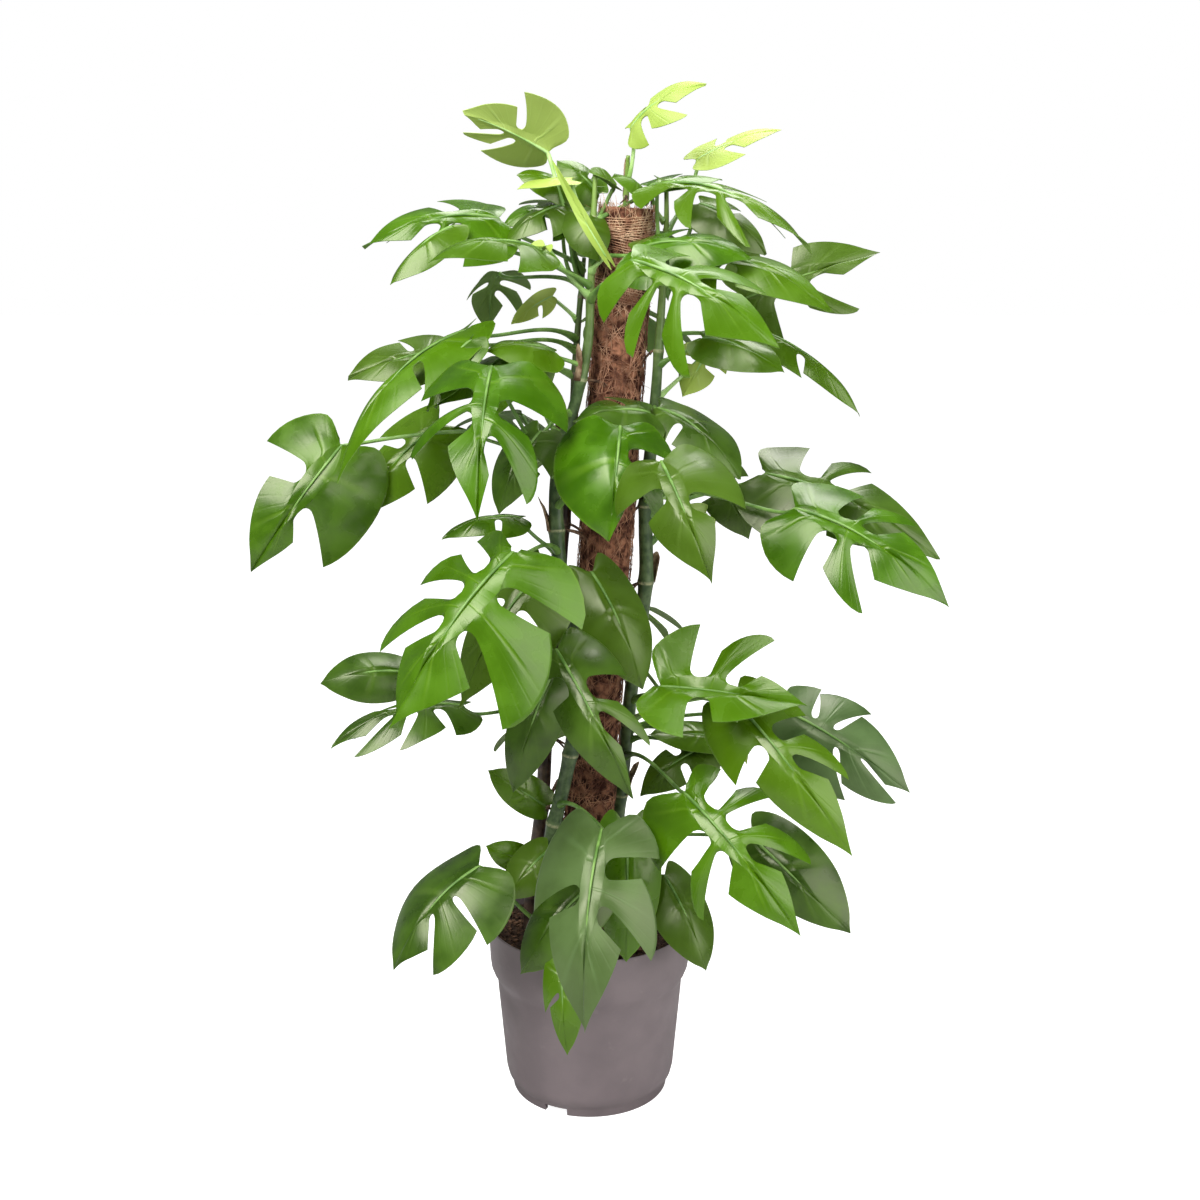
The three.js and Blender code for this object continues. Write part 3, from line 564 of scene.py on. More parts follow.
def smooth_route(points, pieces=14):
    """The points joined by a centripetal Catmull-Rom curve, in metres."""
    points = np.array(points, float) * MM
    points = np.vstack((2 * points[0] - points[1], points, 2 * points[-1] - points[-2]))
    route = []
    for i in range(1, len(points) - 2):
        p0, p1, p2, p3 = points[i - 1:i + 3]
        d0, d1, d2 = (math.sqrt(np.linalg.norm(b - a)) for a, b in ((p0, p1), (p1, p2), (p2, p3)))
        t1 = ((p1 - p0) / d0 - (p2 - p0) / (d0 + d1) + (p2 - p1) / d1) * d1
        t2 = ((p2 - p1) / d1 - (p3 - p1) / (d1 + d2) + (p3 - p2) / d2) * d1
        for t in np.arange(pieces) / pieces:
            route.append((2 * t ** 3 - 3 * t ** 2 + 1) * p1 + (t ** 3 - 2 * t ** 2 + t) * t1
                         + (3 * t ** 2 - 2 * t ** 3) * p2 + (t ** 3 - t ** 2) * t2)
    route.append(points[-2])
    return np.array(route)


def evenly(route, step):
    """The same route with points a step apart."""
    runs = np.concatenate(([0], np.cumsum(np.linalg.norm(np.diff(route, axis=0), axis=1))))
    marks = np.linspace(0, runs[-1], max(2, round(runs[-1] / step)) + 1)
    return np.stack([np.interp(marks, runs, route[:, k]) for k in range(3)], axis=1), marks


def float_mark(piece, name, values):
    mark = piece.data.attributes.new(name, "FLOAT", "POINT")
    mark.data.foreach_set("value", np.asarray(values, np.float32))


vine_routes = {}
vine_pieces = {}
chance = random.Random(23)
for vine_name, points in VINES.items():
    route, marks = evenly(smooth_route(points), ROUTE_STEP)
    steps = round(marks[-1] / RING_STEP)
    step = marks[-1] / steps
    thin = np.minimum(1, ((marks[-1] - marks) / step + 3) / VINE_TAPER)
    from_node = np.abs((marks / step + 1) % 2 - 1)  # 0 at a node, 1 half way
    ring = np.exp(-((from_node * step) / 0.0017) ** 2)
    swell = np.exp(-((from_node * step) / 0.008) ** 2)
    radii = (VINE_RADIUS + RING_SWELL * (0.62 * swell + 0.5 * ring)) * thin
    sway = np.stack([0.0006 * np.sin(marks * 37 + k * 2) for k in range(3)], axis=1)
    piece = mesh_piece(f"vine_{vine_name}", *tube(route + sway * thin[:, None], radii, VINE_SIDES))
    smooth_shade(piece)
    float_mark(piece, "ring", np.repeat(ring, VINE_SIDES))
    float_mark(piece, "climb", np.repeat(marks / marks[-1], VINE_SIDES))
    vine_routes[vine_name] = (route, radii)
    vine_pieces[vine_name] = piece


def vine_bark(name, low, high, young, ring_colour):
    """Satin bark: mottled, younger and paler towards the tip, pale corky rings at the nodes."""
    material, tree, shader = new_material(name, high, 0.42, 0.45)
    climb = node(tree, "ShaderNodeAttribute", _attribute_name="climb").outputs["Fac"]
    ring = node(tree, "ShaderNodeAttribute", _attribute_name="ring").outputs["Fac"]
    colour = two_tone(tree, noise(tree, 110, 5), 0.35, 0.68, low, high)
    colour = two_tone(tree, climb, 0.72, 1.0, colour, young)
    cork = times(tree, ramp(tree, ring, 0.35, 0.9),
                 ramp(tree, noise(tree, 420, 3), 0.35, 0.6, 0.35, 1.0))
    finish_skin(tree, shader, blend_colour(tree, cork, colour, ring_colour),
                ramp(tree, cork, 0.0, 1.0, 0.4, 0.8))
    add_bump(tree, shader, noise(tree, 500, 4), 0.25, 0.0006)
    return material


BARK = {  # low, high, young, ring
    "green": ((0.04, 0.078, 0.025), (0.12, 0.18, 0.07), (0.2, 0.32, 0.06), (0.4, 0.4, 0.22)),
    "brown": ((0.03, 0.018, 0.014), (0.11, 0.07, 0.048), (0.1, 0.17, 0.05), (0.21, 0.17, 0.12)),
}
for vine_name, piece in vine_pieces.items():
    bark = BARK["brown" if vine_name == "left" else "green"]
    piece.data.materials.append(vine_bark(f"bark_{vine_name}", *bark))
    dress(piece, f"vine_{vine_name}", "stem", f"stem_{vine_name}")

roots, sheaths = [], []
for vine_name, (route, radii) in vine_routes.items():
    for k in range(len(route)):
        at_node = k > 4 and route[k][2] > 0.17 and radii[k] == max(radii[k - 4:k + 5])
        if not at_node:
            continue
        height_share = (route[k][2] - POLE_FOOT[2]) / (POLE_TOP[2] - POLE_FOOT[2])
        axis = POLE_FOOT + (POLE_TOP - POLE_FOOT) * min(height_share, 1)
        inward = (axis - route[k]) * (1, 1, 0)
        gap = np.linalg.norm(inward)
        inward /= gap
        across = np.array((-inward[1], inward[0], 0))
        for _ in range(2):
            lean, drop = chance.uniform(-0.9, 0.9), chance.uniform(0.004, 0.03)
            start = route[k] + radii[k] * 0.8 * inward
            reach = max(gap - radii[k] - POLE_RADIUS, 0.003) + 0.004
            track = []
            for step in np.linspace(0, 1, 8):
                track.append(start + inward * reach * min(1.0, 1.6 * step)
                             + across * lean * 0.014 * step * step
                             - np.array((0, 0, drop)) * step ** 1.5)
            roots.append(tube(track, np.linspace(0.0013, 0.0005, 8), 6))
        if chance.random() < SHEATH_CHANCE:
            clasp = chance.uniform(0, 2 * math.pi)
            long_way = chance.uniform(0.018, 0.034)
            strip, rows = [], 7
            for row in range(rows):
                share = row / (rows - 1)
                away = radii[k] * (1.15 + 0.9 * share ** 2)
                width = 0.95 * (1 - share) ** 0.6 + 0.08
                middle = route[min(k + round(long_way * share / ROUTE_STEP), len(route) - 1)]
                for col in range(4):
                    turn = clasp + width * (col / 3 - 0.5) * 1.9 + 0.25 * share
                    strip.append(middle + away * np.array((math.cos(turn), math.sin(turn), 0)))
            faces = [(4 * r + c, 4 * r + c + 1, 4 * r + c + 5, 4 * r + c + 4)
                     for r in range(rows - 1) for c in range(3)]
            sheaths.append((np.array(strip), faces))
root_piece = mesh_piece("air_roots", *gather(roots))
smooth_shade(root_piece)
root_piece.data.materials.append(
    mottled("root_skin", (0.1, 0.06, 0.035), 0.7, 0.3, (240, 4),
            (0.35, 0.65, (0.045, 0.024, 0.015), (0.2, 0.12, 0.07))))
dress(root_piece, "air_roots", "stem")
sheath_piece = mesh_piece("dry_sheaths", *gather(sheaths))
paper = sheath_piece.modifiers.new("paper", "SOLIDIFY")
paper.thickness = 0.0004
paper.offset = 0
apply_all(sheath_piece)
smooth_shade(sheath_piece)
sheath_piece.data.materials.append(
    mottled("sheath_skin", (0.3, 0.2, 0.12), 0.8, 0.2, (120, 5),
            (0.35, 0.65, (0.14, 0.075, 0.04), (0.42, 0.3, 0.19))))
dress(sheath_piece, "dry_sheaths", "stem")

# ---- leaves ----
# A leathery split blade on a grooved stalk. The blade folds along a pale midrib, bulges softly
# between its side veins and hangs from the stalk's end; the splits are round at their inner end
# and leave lobes that hook towards the tip. One sheet a millimetre thick at most, growing
# thinner to its margin, with a darker glossy upper face and a paler matte lower one.
FORMS = {  # arch along the midrib, fold in degrees, droop outwards
    "flat": (0.06, 4, 0.12), "arched": (0.13, 12, 0.26), "tented": (0.1, 22, 0.3),
    "hanging": (0.17, 14, 0.36), "cupped": (0.04, -14, 0.02),
}
flat, arched, tented, hanging, cupped = FORMS
young, bright, mid, deep = "young", "bright", "mid", "deep"
# Each leaf by the vine it grows from: name, height of its scar, foot, tip, width, where the upper
# face looks (azimuth from the front, elevation), splits of the left and of the right half in per
# cent of the midrib, how wide they gape in per cent, form, age; millimetres.
LEAVES = {"front": [
    ("crown_8", 800, (-14, -16, 834), (-58, -42, 826), 20, (-40, 50), (), (), 100, flat, young),
    ("crown_5", 768, (37, -58, 778), (131, -90, 772), 83, (-4, 54), (46,), (40,), 130, arched, bright),
    ("crown_1", 775, (-34, 5, 857), (-102, -35, 888), 72, (160, 24), (52,), (50, 70), 110, cupped, young),
    ("upper_left_2", 748, (-38, -62, 778), (-126, -108, 771), 62, (-10, 64), (42,), (40,), 110, arched, mid),
    ("upper_right_1", 735, (34, -137, 773), (144, -193, 711), 111,
     (-6, 46), (33, 62), (26, 41, 61), 130, tented, bright),
    ("shoulder_left_2", 622, (-48, -30, 697), (-127, -70, 649), 70,
     (-10, 56), (34, 60), (34,), 100, tented, mid),
    ("heart_1", 620, (51, -60, 646), (-13, -80, 639), 65, (-8, 52), (), (44,), 90, arched, deep),
    ("shoulder_left_1", 585, (-76, -120, 690), (-84, -190, 578), 122,
     (-2, 40), (45, 77), (36, 56), 150, hanging, bright),
    ("heart_3", 560, (26, -118, 642), (17, -160, 556), 96, (4, 38), (38, 70), (), 150, hanging, bright),
    ("mid_left_1", 520, (-60, -150, 546), (-152, -205, 415), 160,
     (-22, 34), (30, 63), (22, 41, 63), 112, tented, bright),
    ("heart_5", 470, (3, -58, 509), (46, -86, 413), 58, (16, 26), (), (), 90, arched, deep),
    ("mid_left_2", 426, (-26, -118, 457), (37, -172, 346), 84, (-4, 34), (44, 70), (34,), 150, hanging, deep),
    ("mid_left_6", 500, (-40, -58, 511), (-109, -92, 397), 88, (-20, 36), (44,), (44,), 100, arched, deep),
    ("mid_left_3", 380, (-28, -60, 428), (-66, -78, 317), 46, (-10, 24), (), (), 90, arched, deep),
    ("low_front_1", 290, (11, -142, 308), (-2, -210, 159), 108,
     (-14, 38), (30, 57), (46,), 115, hanging, mid),
    ("low_left_3", 240, (-36, -56, 255), (-74, -76, 217), 43, (-10, 36), (), (), 100, arched, deep),
    ("low_left_1", 173, (-94, -112, 263), (-164, -150, 184), 98, (-40, 46), (42, 69), (), 62, arched, deep),
    ("low_front_2", 190, (-23, -128, 185), (-18, -150, 106), 34, (-8, 24), (), (50,), 80, arched, mid),
], "right": [
    ("crown_3", 792, (94, 45, 852), (168, 62, 878), 48, (6, 70), (44,), (48,), 130, flat, young),
    ("upper_right_2", 770, (84, -45, 773), (196, -90, 729), 76, (14, 56), (40,), (42,), 120, arched, mid),
    ("crown_4", 761, (58, -24, 831), (180, -84, 777), 84, (20, 62), (30, 55), (26, 46, 66), 140, arched, mid),
    ("upper_right_4", 700, (154, -12, 707), (229, -48, 642), 35, (40, 40), (30,), (46,), 90, tented, mid),
    ("upper_right_5", 680, (97, -30, 705), (162, -66, 679), 44, (0, 44), (), (), 100, arched, mid),
    ("heart_2", 640, (59, -38, 647), (126, -84, 593), 66, (24, 50), (), (42,), 90, arched, deep),
    ("heart_4", 560, (57, -172, 622), (94, -224, 538), 96, (-8, 34), (56,), (40,), 160, hanging, deep),
    ("mid_right_1", 560, (172, -82, 569), (294, -130, 497), 106,
     (2, 46), (38, 56), (36, 58), 118, arched, bright),
    ("mid_right_2", 545, (154, -13, 587), (301, -51, 518), 109, (6, 40), (32, 50), (43,), 130, arched, deep),
    ("mid_right_3", 520, (110, 34, 584), (143, 24, 521), 64, (12, 26), (40,), (36,), 110, arched, deep),
    ("low_right_1", 400, (61, -92, 418), (181, -128, 411), 118,
     (-6, 50), (37, 66), (42,), 150, cupped, bright),
    ("low_right_2", 370, (125, -98, 405), (218, -158, 291), 84, (-8, 38), (38, 60), (42,), 112, arched, mid),
    ("low_right_3", 340, (178, -28, 375), (283, -58, 309), 84, (0, 30), (26, 46), (56, 82), 60, arched, deep),
    ("low_right_4", 315, (81, -118, 332), (175, -176, 228), 114,
     (-2, 32), (24, 42, 66), (38, 57), 130, hanging, bright),
    ("low_right_5", 225, (145, -60, 268), (229, -98, 194), 70, (-4, 24), (), (46,), 70, arched, deep),
    ("low_right_6", 190, (67, -62, 233), (103, -104, 161), 52, (16, 30), (), (), 100, arched, deep),
], "back": [
    ("crown_2", 830, (36, 20, 877), (98, -2, 912), 50, (-16, 50), (36,), (32, 62), 120, arched, young),
    ("crown_7", 770, (53, 90, 790), (75, 160, 726), 88, (170, 60), (34, 60), (30, 60), 120, arched, mid),
    ("crown_6", 760, (5, 62, 800), (-52, 112, 806), 100, (180, 55), (34, 60), (30, 60), 120, arched, deep),
    ("upper_right_3", 737, (136, 22, 735), (254, 36, 773), 104, (8, 34), (41,), (37, 68), 170, flat, deep),
    ("back_1", 720, (35, 96, 724), (60, 184, 675), 112, (160, 50), (30, 58), (30, 58), 120, arched, mid),
    ("back_2", 530, (10, 130, 596), (-30, 222, 530), 134,
     (185, 40), (26, 50, 72), (30, 58), 130, hanging, deep),
    ("back_3", 420, (20, 118, 440), (40, 214, 372), 124,
     (180, 40), (30, 58), (26, 50, 72), 120, hanging, mid),
    ("back_4", 300, (-30, 112, 330), (-52, 196, 262), 118, (190, 40), (30, 58), (30, 58), 120, hanging, deep),
], "left": [
    ("upper_left_1", 762, (-76, -4, 803), (-187, -36, 778), 90,
     (-16, 46), (46, 66), (44,), 140, arched, bright),
    ("upper_left_3", 745, (-79, 52, 756), (-93, 96, 699), 60, (200, 20), (40,), (36, 62), 130, hanging, mid),
    ("shoulder_left_4", 700, (-102, -44, 713), (-205, -104, 594), 73,
     (-56, 40), (44,), (44,), 70, arched, bright),
    ("shoulder_left_3", 668, (-128, 2, 692), (-206, -18, 669), 66, (-24, 50), (48,), (40,), 80, flat, deep),
    ("shoulder_left_5", 600, (-218, 10, 608), (-299, -8, 498), 116, (8, 20), (66,), (41,), 150, arched, mid),
    ("shoulder_left_7", 590, (-60, 56, 630), (-118, 96, 596), 86,
     (200, 40), (34, 60), (34, 60), 120, arched, deep),
    ("shoulder_left_6", 580, (-135, 54, 621), (-211, 42, 536), 84, (-12, 40), (50,), (44,), 100, arched, mid),
    ("mid_left_4", 400, (-167, -20, 410), (-237, -36, 404), 48, (-20, 34), (), (), 100, arched, deep),
    ("mid_left_5", 360, (-109, -70, 394), (-217, -112, 369), 70,
     (-14, 76), (30, 52, 74), (36, 60), 90, arched, deep),
    ("low_left_2", 280, (-40, -22, 284), (-91, -30, 321), 34, (-10, 30), (), (), 100, flat, mid),
]}
# Those that only the scene shows, each with its vine first.
SMALL_LEAVES = [
    ("right", "spear", 350, (123, -104, 409), (134, -112, 355), 12, (-20, 20), (), (), 100, tented, young),
    ("front", "thin_left", 520, (-59, -40, 553), (-125, -56, 537), 44,
     (0, 74), (40,), (40,), 90, arched, mid),
    ("right", "young_mid", 650, (104, 24, 689), (82, 14, 650), 50,
     (10, 30), (36,), (42,), 140, hanging, young),
    ("front", "tuft_left", 800, (22, -6, 828), (0, -20, 841), 28, (-20, 60), (), (), 100, cupped, mid),
    ("front", "tuft_mid", 800, (47, -8, 825), (20, -26, 837), 32, (-6, 60), (), (), 100, arched, mid),
    ("right", "tuft_right", 800, (52, 8, 830), (114, 16, 835), 34, (0, 70), (48,), (), 90, flat, mid),
    ("left", "dark_left", 745, (-23, 20, 808), (-73, 4, 797), 50, (-16, 48), (40,), (44,), 100, arched, mid),
    ("front", "low_old", 230, (3, -96, 240), (-59, -118, 165), 58, (-24, 34), (), (), 100, arched, deep),
    ("left", "low_pale", 200, (-57, -30, 233), (-93, -44, 254), 26, (-10, 20), (), (), 100, arched, mid),
    ("front", "low_lime", 240, (34, -70, 281), (33, -90, 163), 58, (0, 30), (), (), 100, arched, bright),
    ("left", "crown_dark", 748, (-22, -8, 814), (-70, -20, 781), 46,
     (-30, 40), (44,), (40,), 100, arched, deep),
    ("left", "crown_low", 758, (-17, 0, 826), (-60, -8, 838), 32, (-20, 50), (), (), 100, arched, mid),
    ("front", "crown_shade", 790, (-7, -22, 807), (10, -40, 768), 36, (4, 30), (), (), 100, arched, deep),
    ("front", "crown_fold", 740, (-35, -44, 781), (-49, -52, 761), 22, (-30, 30), (), (), 100, cupped, young),
    ("left", "shoulder_pale", 690, (-97, -66, 706), (-131, -84, 649), 36,
     (-50, 30), (), (), 100, tented, mid),
    ("front", "shoulder_high", 680, (-29, -44, 695), (-84, -62, 696), 46,
     (-10, 60), (), (44,), 100, arched, mid),
    ("right", "mid_pale", 560, (104, 10, 547), (65, 0, 534), 34, (-10, 50), (), (), 100, flat, young),
    ("right", "low_dark", 330, (102, -12, 336), (46, -22, 293), 62,
     (-30, 40), (44,), (40,), 110, arched, deep),
    ("right", "low_grey", 340, (120, -8, 344), (53, -20, 350), 38, (0, 60), (), (), 100, flat, mid),
    ("front", "crown_sheath", 760, (15, -52, 773), (-29, -46, 850), 9, (-30, 20), (), (), 100, cupped, young),
    ("left", "upper_left_4", 715, (-33, 48, 735), (-69, 56, 710), 38, (-30, 50), (40,), (), 110, flat, young),
    ("front", "shoulder_behind", 640, (-40, -70, 631), (-74, -92, 566), 52,
     (-20, 30), (44,), (), 100, arched, deep),
    ("front", "crown_left", 800, (8, 12, 823), (-27, 20, 851), 40, (-10, 50), (), (44,), 90, arched, mid),
    ("left", "upper_low", 750, (-113, -34, 797), (-162, -58, 750), 36, (-40, 40), (), (), 100, tented, mid),
    ("right", "upper_behind", 760, (94, -10, 815), (148, -30, 773), 44,
     (20, 40), (44,), (), 110, arched, deep),
]
OUTLINE = [  # half a blade uncut: along, out, at even side veins
    (-0.03, 0.09), (-0.13, 0.48), (-0.01, 0.86), (0.19, 1.03), (0.42, 1.03), (0.61, 0.9),
    (0.76, 0.66), (0.88, 0.38), (0.95, 0.14), (1.0, 0.0),
]
VEIN_SPAN = 0.68  # the side veins leave the first part of the midrib
VEIN_CURVE = 1.35  # they leave it squarely and bend on towards the tip
SPLIT_FLOOR = 0.16  # a split ends this far out along its vein
SPLIT_HALF = 0.058  # half its width, as a share of the midrib
SPLIT_ROUND = 0.2  # its inner end is round over this part of its reach
SPLIT_FLARE = (0.55, -0.9, -0.5)  # growth of its width outwards: per gape, always, at least
SPLIT_SHARE = 0.35  # it takes no more than this of a lobe from each side
LOBE_ROUND = (0.36, 0.24)  # a lobe's near corner is cut back: always, per extra gape
LOBE_FADE = (2.7, 0.5)  # and how fast that fades along the lobe, less per gape
LOBE_HOOK, LOBE_NIP = 0.08, 0.04  # its far corner reaches on, and is a little shorter
LOBE_BULGE, LOBE_LIFT, LOBE_TWIST = 0.03, 0.035, 0.05  # shares of the blade's width
GROOVE, GROOVE_SPAN = 0.008, 0.1  # depth of the midrib's groove, and how far it spreads
BASE_ARCH = 0.4  # behind the stalk the arch is this much flatter
INNER_ROWS = (0.0, 0.045, 0.11, 0.165)  # from the midrib towards the floors of the splits
REACHES = (0.0, 0.012, 0.04, 0.085, 0.15, 0.24, 0.35, 0.47, 0.59, 0.71, 0.82, 0.91, 0.965, 1.0)
STATION_GAP = 0.034  # side veins in the mesh, as a share of the midrib
BLADE_THICK, MARGIN_THICK = 0.9 * MM, 0.45 * MM
STALK_RADIUS = 1.65  # millimetres, like the next three
SHEATH = (1.7, 0.1, 0.5, 0.3)  # how much thicker and over what share of the stalk, twice
KNEE = (0.45, 0.93, 0.035)  # how much thicker, where along the stalk, over what share
RIB_RADIUS = (0.25, 1.25)  # of the midrib below the blade: at its tip, and more at its foot
STALK_LEAVES = (0.3, 0.2)  # it leaves the vine this far outward and up, by its span
STALK_MEETS = (0.04, 0.2)  # and comes to the blade this far along and from below
RIB_SPAN = VEIN_SPAN / 0.8  # the midrib's share of the blade


def outline_at(s):
    """Half the uncut outline where the side vein from s meets it, on a smooth curve."""
    place = s * (len(OUTLINE) - 1)
    i = min(int(place), len(OUTLINE) - 2)
    t = place - i
    ends = [OUTLINE[min(max(k, 0), len(OUTLINE) - 1)] for k in (i - 1, i, i + 1, i + 2)]
    return [0.5 * (2 * b + (c - a) * t + (2 * a - 5 * b + 4 * c - d) * t * t
                   + (3 * b - a - 3 * c + d) * t ** 3) for a, b, c, d in zip(*ends)]


def split_width(reach, gape):
    """How open a split is: round at its inner end, narrower outwards unless it gapes."""
    inner = math.sqrt(1 - (1 - min(reach / SPLIT_ROUND, 1)) ** 2)
    more, always, least = SPLIT_FLARE
    return inner * gape * (1 + max(more * gape + always, least) * reach ** 1.2)


def half_blade(splits, stations, gape, sign, chance):
    """Rows of flat points of one half, station by station, with where each lies in its lobe."""
    bounds = [0.0, *splits, 1.0]
    columns = []
    for k, (near, far) in enumerate(zip(bounds, bounds[1:])):
        split_near, split_far = k > 0, far < 1
        lift, twist = chance.uniform(-1, 1), chance.uniform(-1, 1)
        grid = []
        for s0 in (s for s in stations if near <= s <= far):
            c = (s0 - near) / (far - near)
            rows = [(s0, t, 0.0, 0.0) for t in INNER_ROWS]
            for reach in REACHES:
                gap = min(SPLIT_HALF * split_width(reach, gape), SPLIT_SHARE * (far - near))
                a = near + (gap if split_near else 0)
                b = far - (gap if split_far else 0)
                s = a + (b - a) * c
                fade = LOBE_FADE[0] - LOBE_FADE[1] * gape if split_far else 1
                round_off = (LOBE_ROUND[0] + LOBE_ROUND[1] * (gape - 1)) * (1 - c) ** fade
                shape = 1 - (round_off if split_near else 0)
                shape -= LOBE_NIP * c ** 9 if split_far else 0
                t = SPLIT_FLOOR + (1 - SPLIT_FLOOR) * reach * shape
                rows.append((s, t, reach, LOBE_HOOK * reach ** 1.5 * c if split_far else 0))
            column = []
            for s, t, reach, hook in rows:
                end_u, end_v = outline_at(s)
                column.append((VEIN_SPAN * s + (end_u - VEIN_SPAN * s) * t ** VEIN_CURVE + hook,
                               sign * end_v * t, s, t * sign, k + c, reach, c, lift, twist))
            grid.append(column)
        columns.append(grid)
    return columns


def blade_axes(foot, tip, looks):
    """Along the midrib's chord, to its left, and out of the upper face."""
    along = (tip - foot) / np.linalg.norm(tip - foot)
    turn, lift = math.radians(looks[0]), math.radians(looks[1])
    out = np.array((math.sin(turn) * math.cos(lift), -math.cos(turn) * math.cos(lift),
                    math.sin(lift)))
    out -= along * out.dot(along)
    out /= np.linalg.norm(out)
    return along, np.cross(out, along), out


def blade(foot, tip, width, axes, splits, gape, form, chance):
    """A closed blade: points, faces, which faces are the upper side, and its marks."""
    along, left, out = axes
    length, half = np.linalg.norm(tip - foot), width / 2
    arch, fold, droop = FORMS[form]
    slope = math.tan(math.radians(fold))
    wave_phase, wave_size = chance.uniform(0, 6.28), chance.uniform(0.006, 0.014) * length
    stations = sorted({0.0, 1.0, *splits[0], *splits[1]})
    fine = [a + (b - a) * i / max(1, round((b - a) / STATION_GAP))
            for a, b in zip(stations, stations[1:])
            for i in range(max(1, round((b - a) / STATION_GAP)))] + [1.0]
    fine = [round(s, 6) for s in fine]
    upper, thick, marks, faces, seen = [], [], [], [], {}

    def place(entry):
        u, v, s, t, lobe, reach, c, lift, twist = entry
        key = (round(u, 5), round(v, 5))
        if key in seen:
            return seen[key]
        side = abs(v) * half
        rise = arch * length * 4 * u * (1 - u) * (BASE_ARCH if u < 0 else 1)
        rise -= slope * side + droop * side * side / half
        rise += LOBE_BULGE * width * math.sin(math.pi * c) * min(1, 5 * abs(t)) * (1 - 0.5 * abs(t))
        rise += reach ** 2 * width * (LOBE_LIFT * lift + LOBE_TWIST * twist * (c - 0.5))
        rise += wave_size * abs(t) ** 2 * math.sin(9 * u + wave_phase + (2 if t < 0 else 0))
        rise += GROOVE * width * min(1, abs(t) / GROOVE_SPAN) - GROOVE * width
        seen[key] = len(upper)
        upper.append(foot + along * u * length + left * v * half + out * (rise + BLADE_THICK / 2))
        thick.append(BLADE_THICK + (MARGIN_THICK - BLADE_THICK) * max(abs(t), s ** 8))
        marks.append((s, t, lobe, reach))
        return seen[key]

    for sign, cut_list in ((1, splits[0]), (-1, splits[1])):
        snapped = [min(fine, key=lambda s: abs(s - cut)) for cut in cut_list]
        for grid in half_blade(snapped, fine, gape, sign, chance):
            for first, second in zip(grid, grid[1:]):
                for row in range(len(first) - 1):
                    corners = [place(first[row]), place(second[row]), place(second[row + 1]),
                               place(first[row + 1])]
                    corners = [p for i, p in enumerate(corners) if p != corners[i - 1]]
                    if len(corners) > 2:
                        faces.append(tuple(corners if sign > 0 else corners[::-1]))
    count = len(upper)
    upper = np.array(upper)
    lower = upper - np.array(thick)[:, None] * out
    edges = {(face[i - 1], face[i]) for face in faces for i in range(len(face))}
    rim = [(b, a, a + count, b + count) for a, b in edges if (b, a) not in edges]
    under = [tuple(k + count for k in reversed(face)) for face in faces]
    return np.vstack((upper, lower)), faces, under, rim, marks + marks


def stalk(vine, scar, foot, tip, axes, form):
    """A stalk from its scar on the vine to the blade's foot and on as the midrib below it."""
    along, _, out = axes
    route, radii = vine_routes[vine]
    k = int(np.argmax(route[:, 2] > scar * MM))
    way = (foot - route[k]) * (1, 1, 0)
    way /= np.linalg.norm(way)
    root = route[k] + way * radii[k] * 0.5
    span = np.linalg.norm(foot - root)
    length = np.linalg.norm(tip - foot)
    end = foot - out * 0.0011
    leave = root + way * STALK_LEAVES[0] * span + np.array((0, 0, STALK_LEAVES[1] * span))
    meet = end - way * STALK_MEETS[0] * span - out * STALK_MEETS[1] * span
    track, thick = [], []
    for t in np.linspace(0, 1, 23):
        track.append((1 - t) ** 3 * root + 3 * (1 - t) ** 2 * t * leave + 3 * (1 - t) * t * t * meet
                     + t ** 3 * end)
        sheath = (SHEATH[0] * math.exp(-(t / SHEATH[1]) ** 2)
                  + SHEATH[2] * math.exp(-(t / SHEATH[3]) ** 2))
        knee = KNEE[0] * math.exp(-((t - KNEE[1]) / KNEE[2]) ** 2)
        thick.append((STALK_RADIUS + sheath + knee) * MM)
    arch = FORMS[form][0]
    for u in np.linspace(0.03, 0.97, 18):
        rise = arch * length * 4 * u * (1 - u) - 0.0005
        track.append(foot + along * u * length * RIB_SPAN + out * rise)
        thick.append((RIB_RADIUS[0] + RIB_RADIUS[1] * (1 - u) ** 1.2) * MM)
    return tube(track, thick, 9)


# The leaf's own materials. The upper face is coloured by age, from lime through bright green to
# deep green; the tone named old is no age but a painted sheen, a grey green that stands in for the
# studio's white reflected by leaves tilted to the light. Veins, blotches and a thin pale margin
# follow the blade's own coordinates.
VEIN_SHOWS = {"fine": 0.05, "main": 0.3, "midrib": 0.75, "margin": 0.4}  # how far each tints
FINE_VEINS = 7.0  # to a lobe
SPECK_RISE, FINE_RISE = 0.05, 0.15  # next to a main vein's, which is one


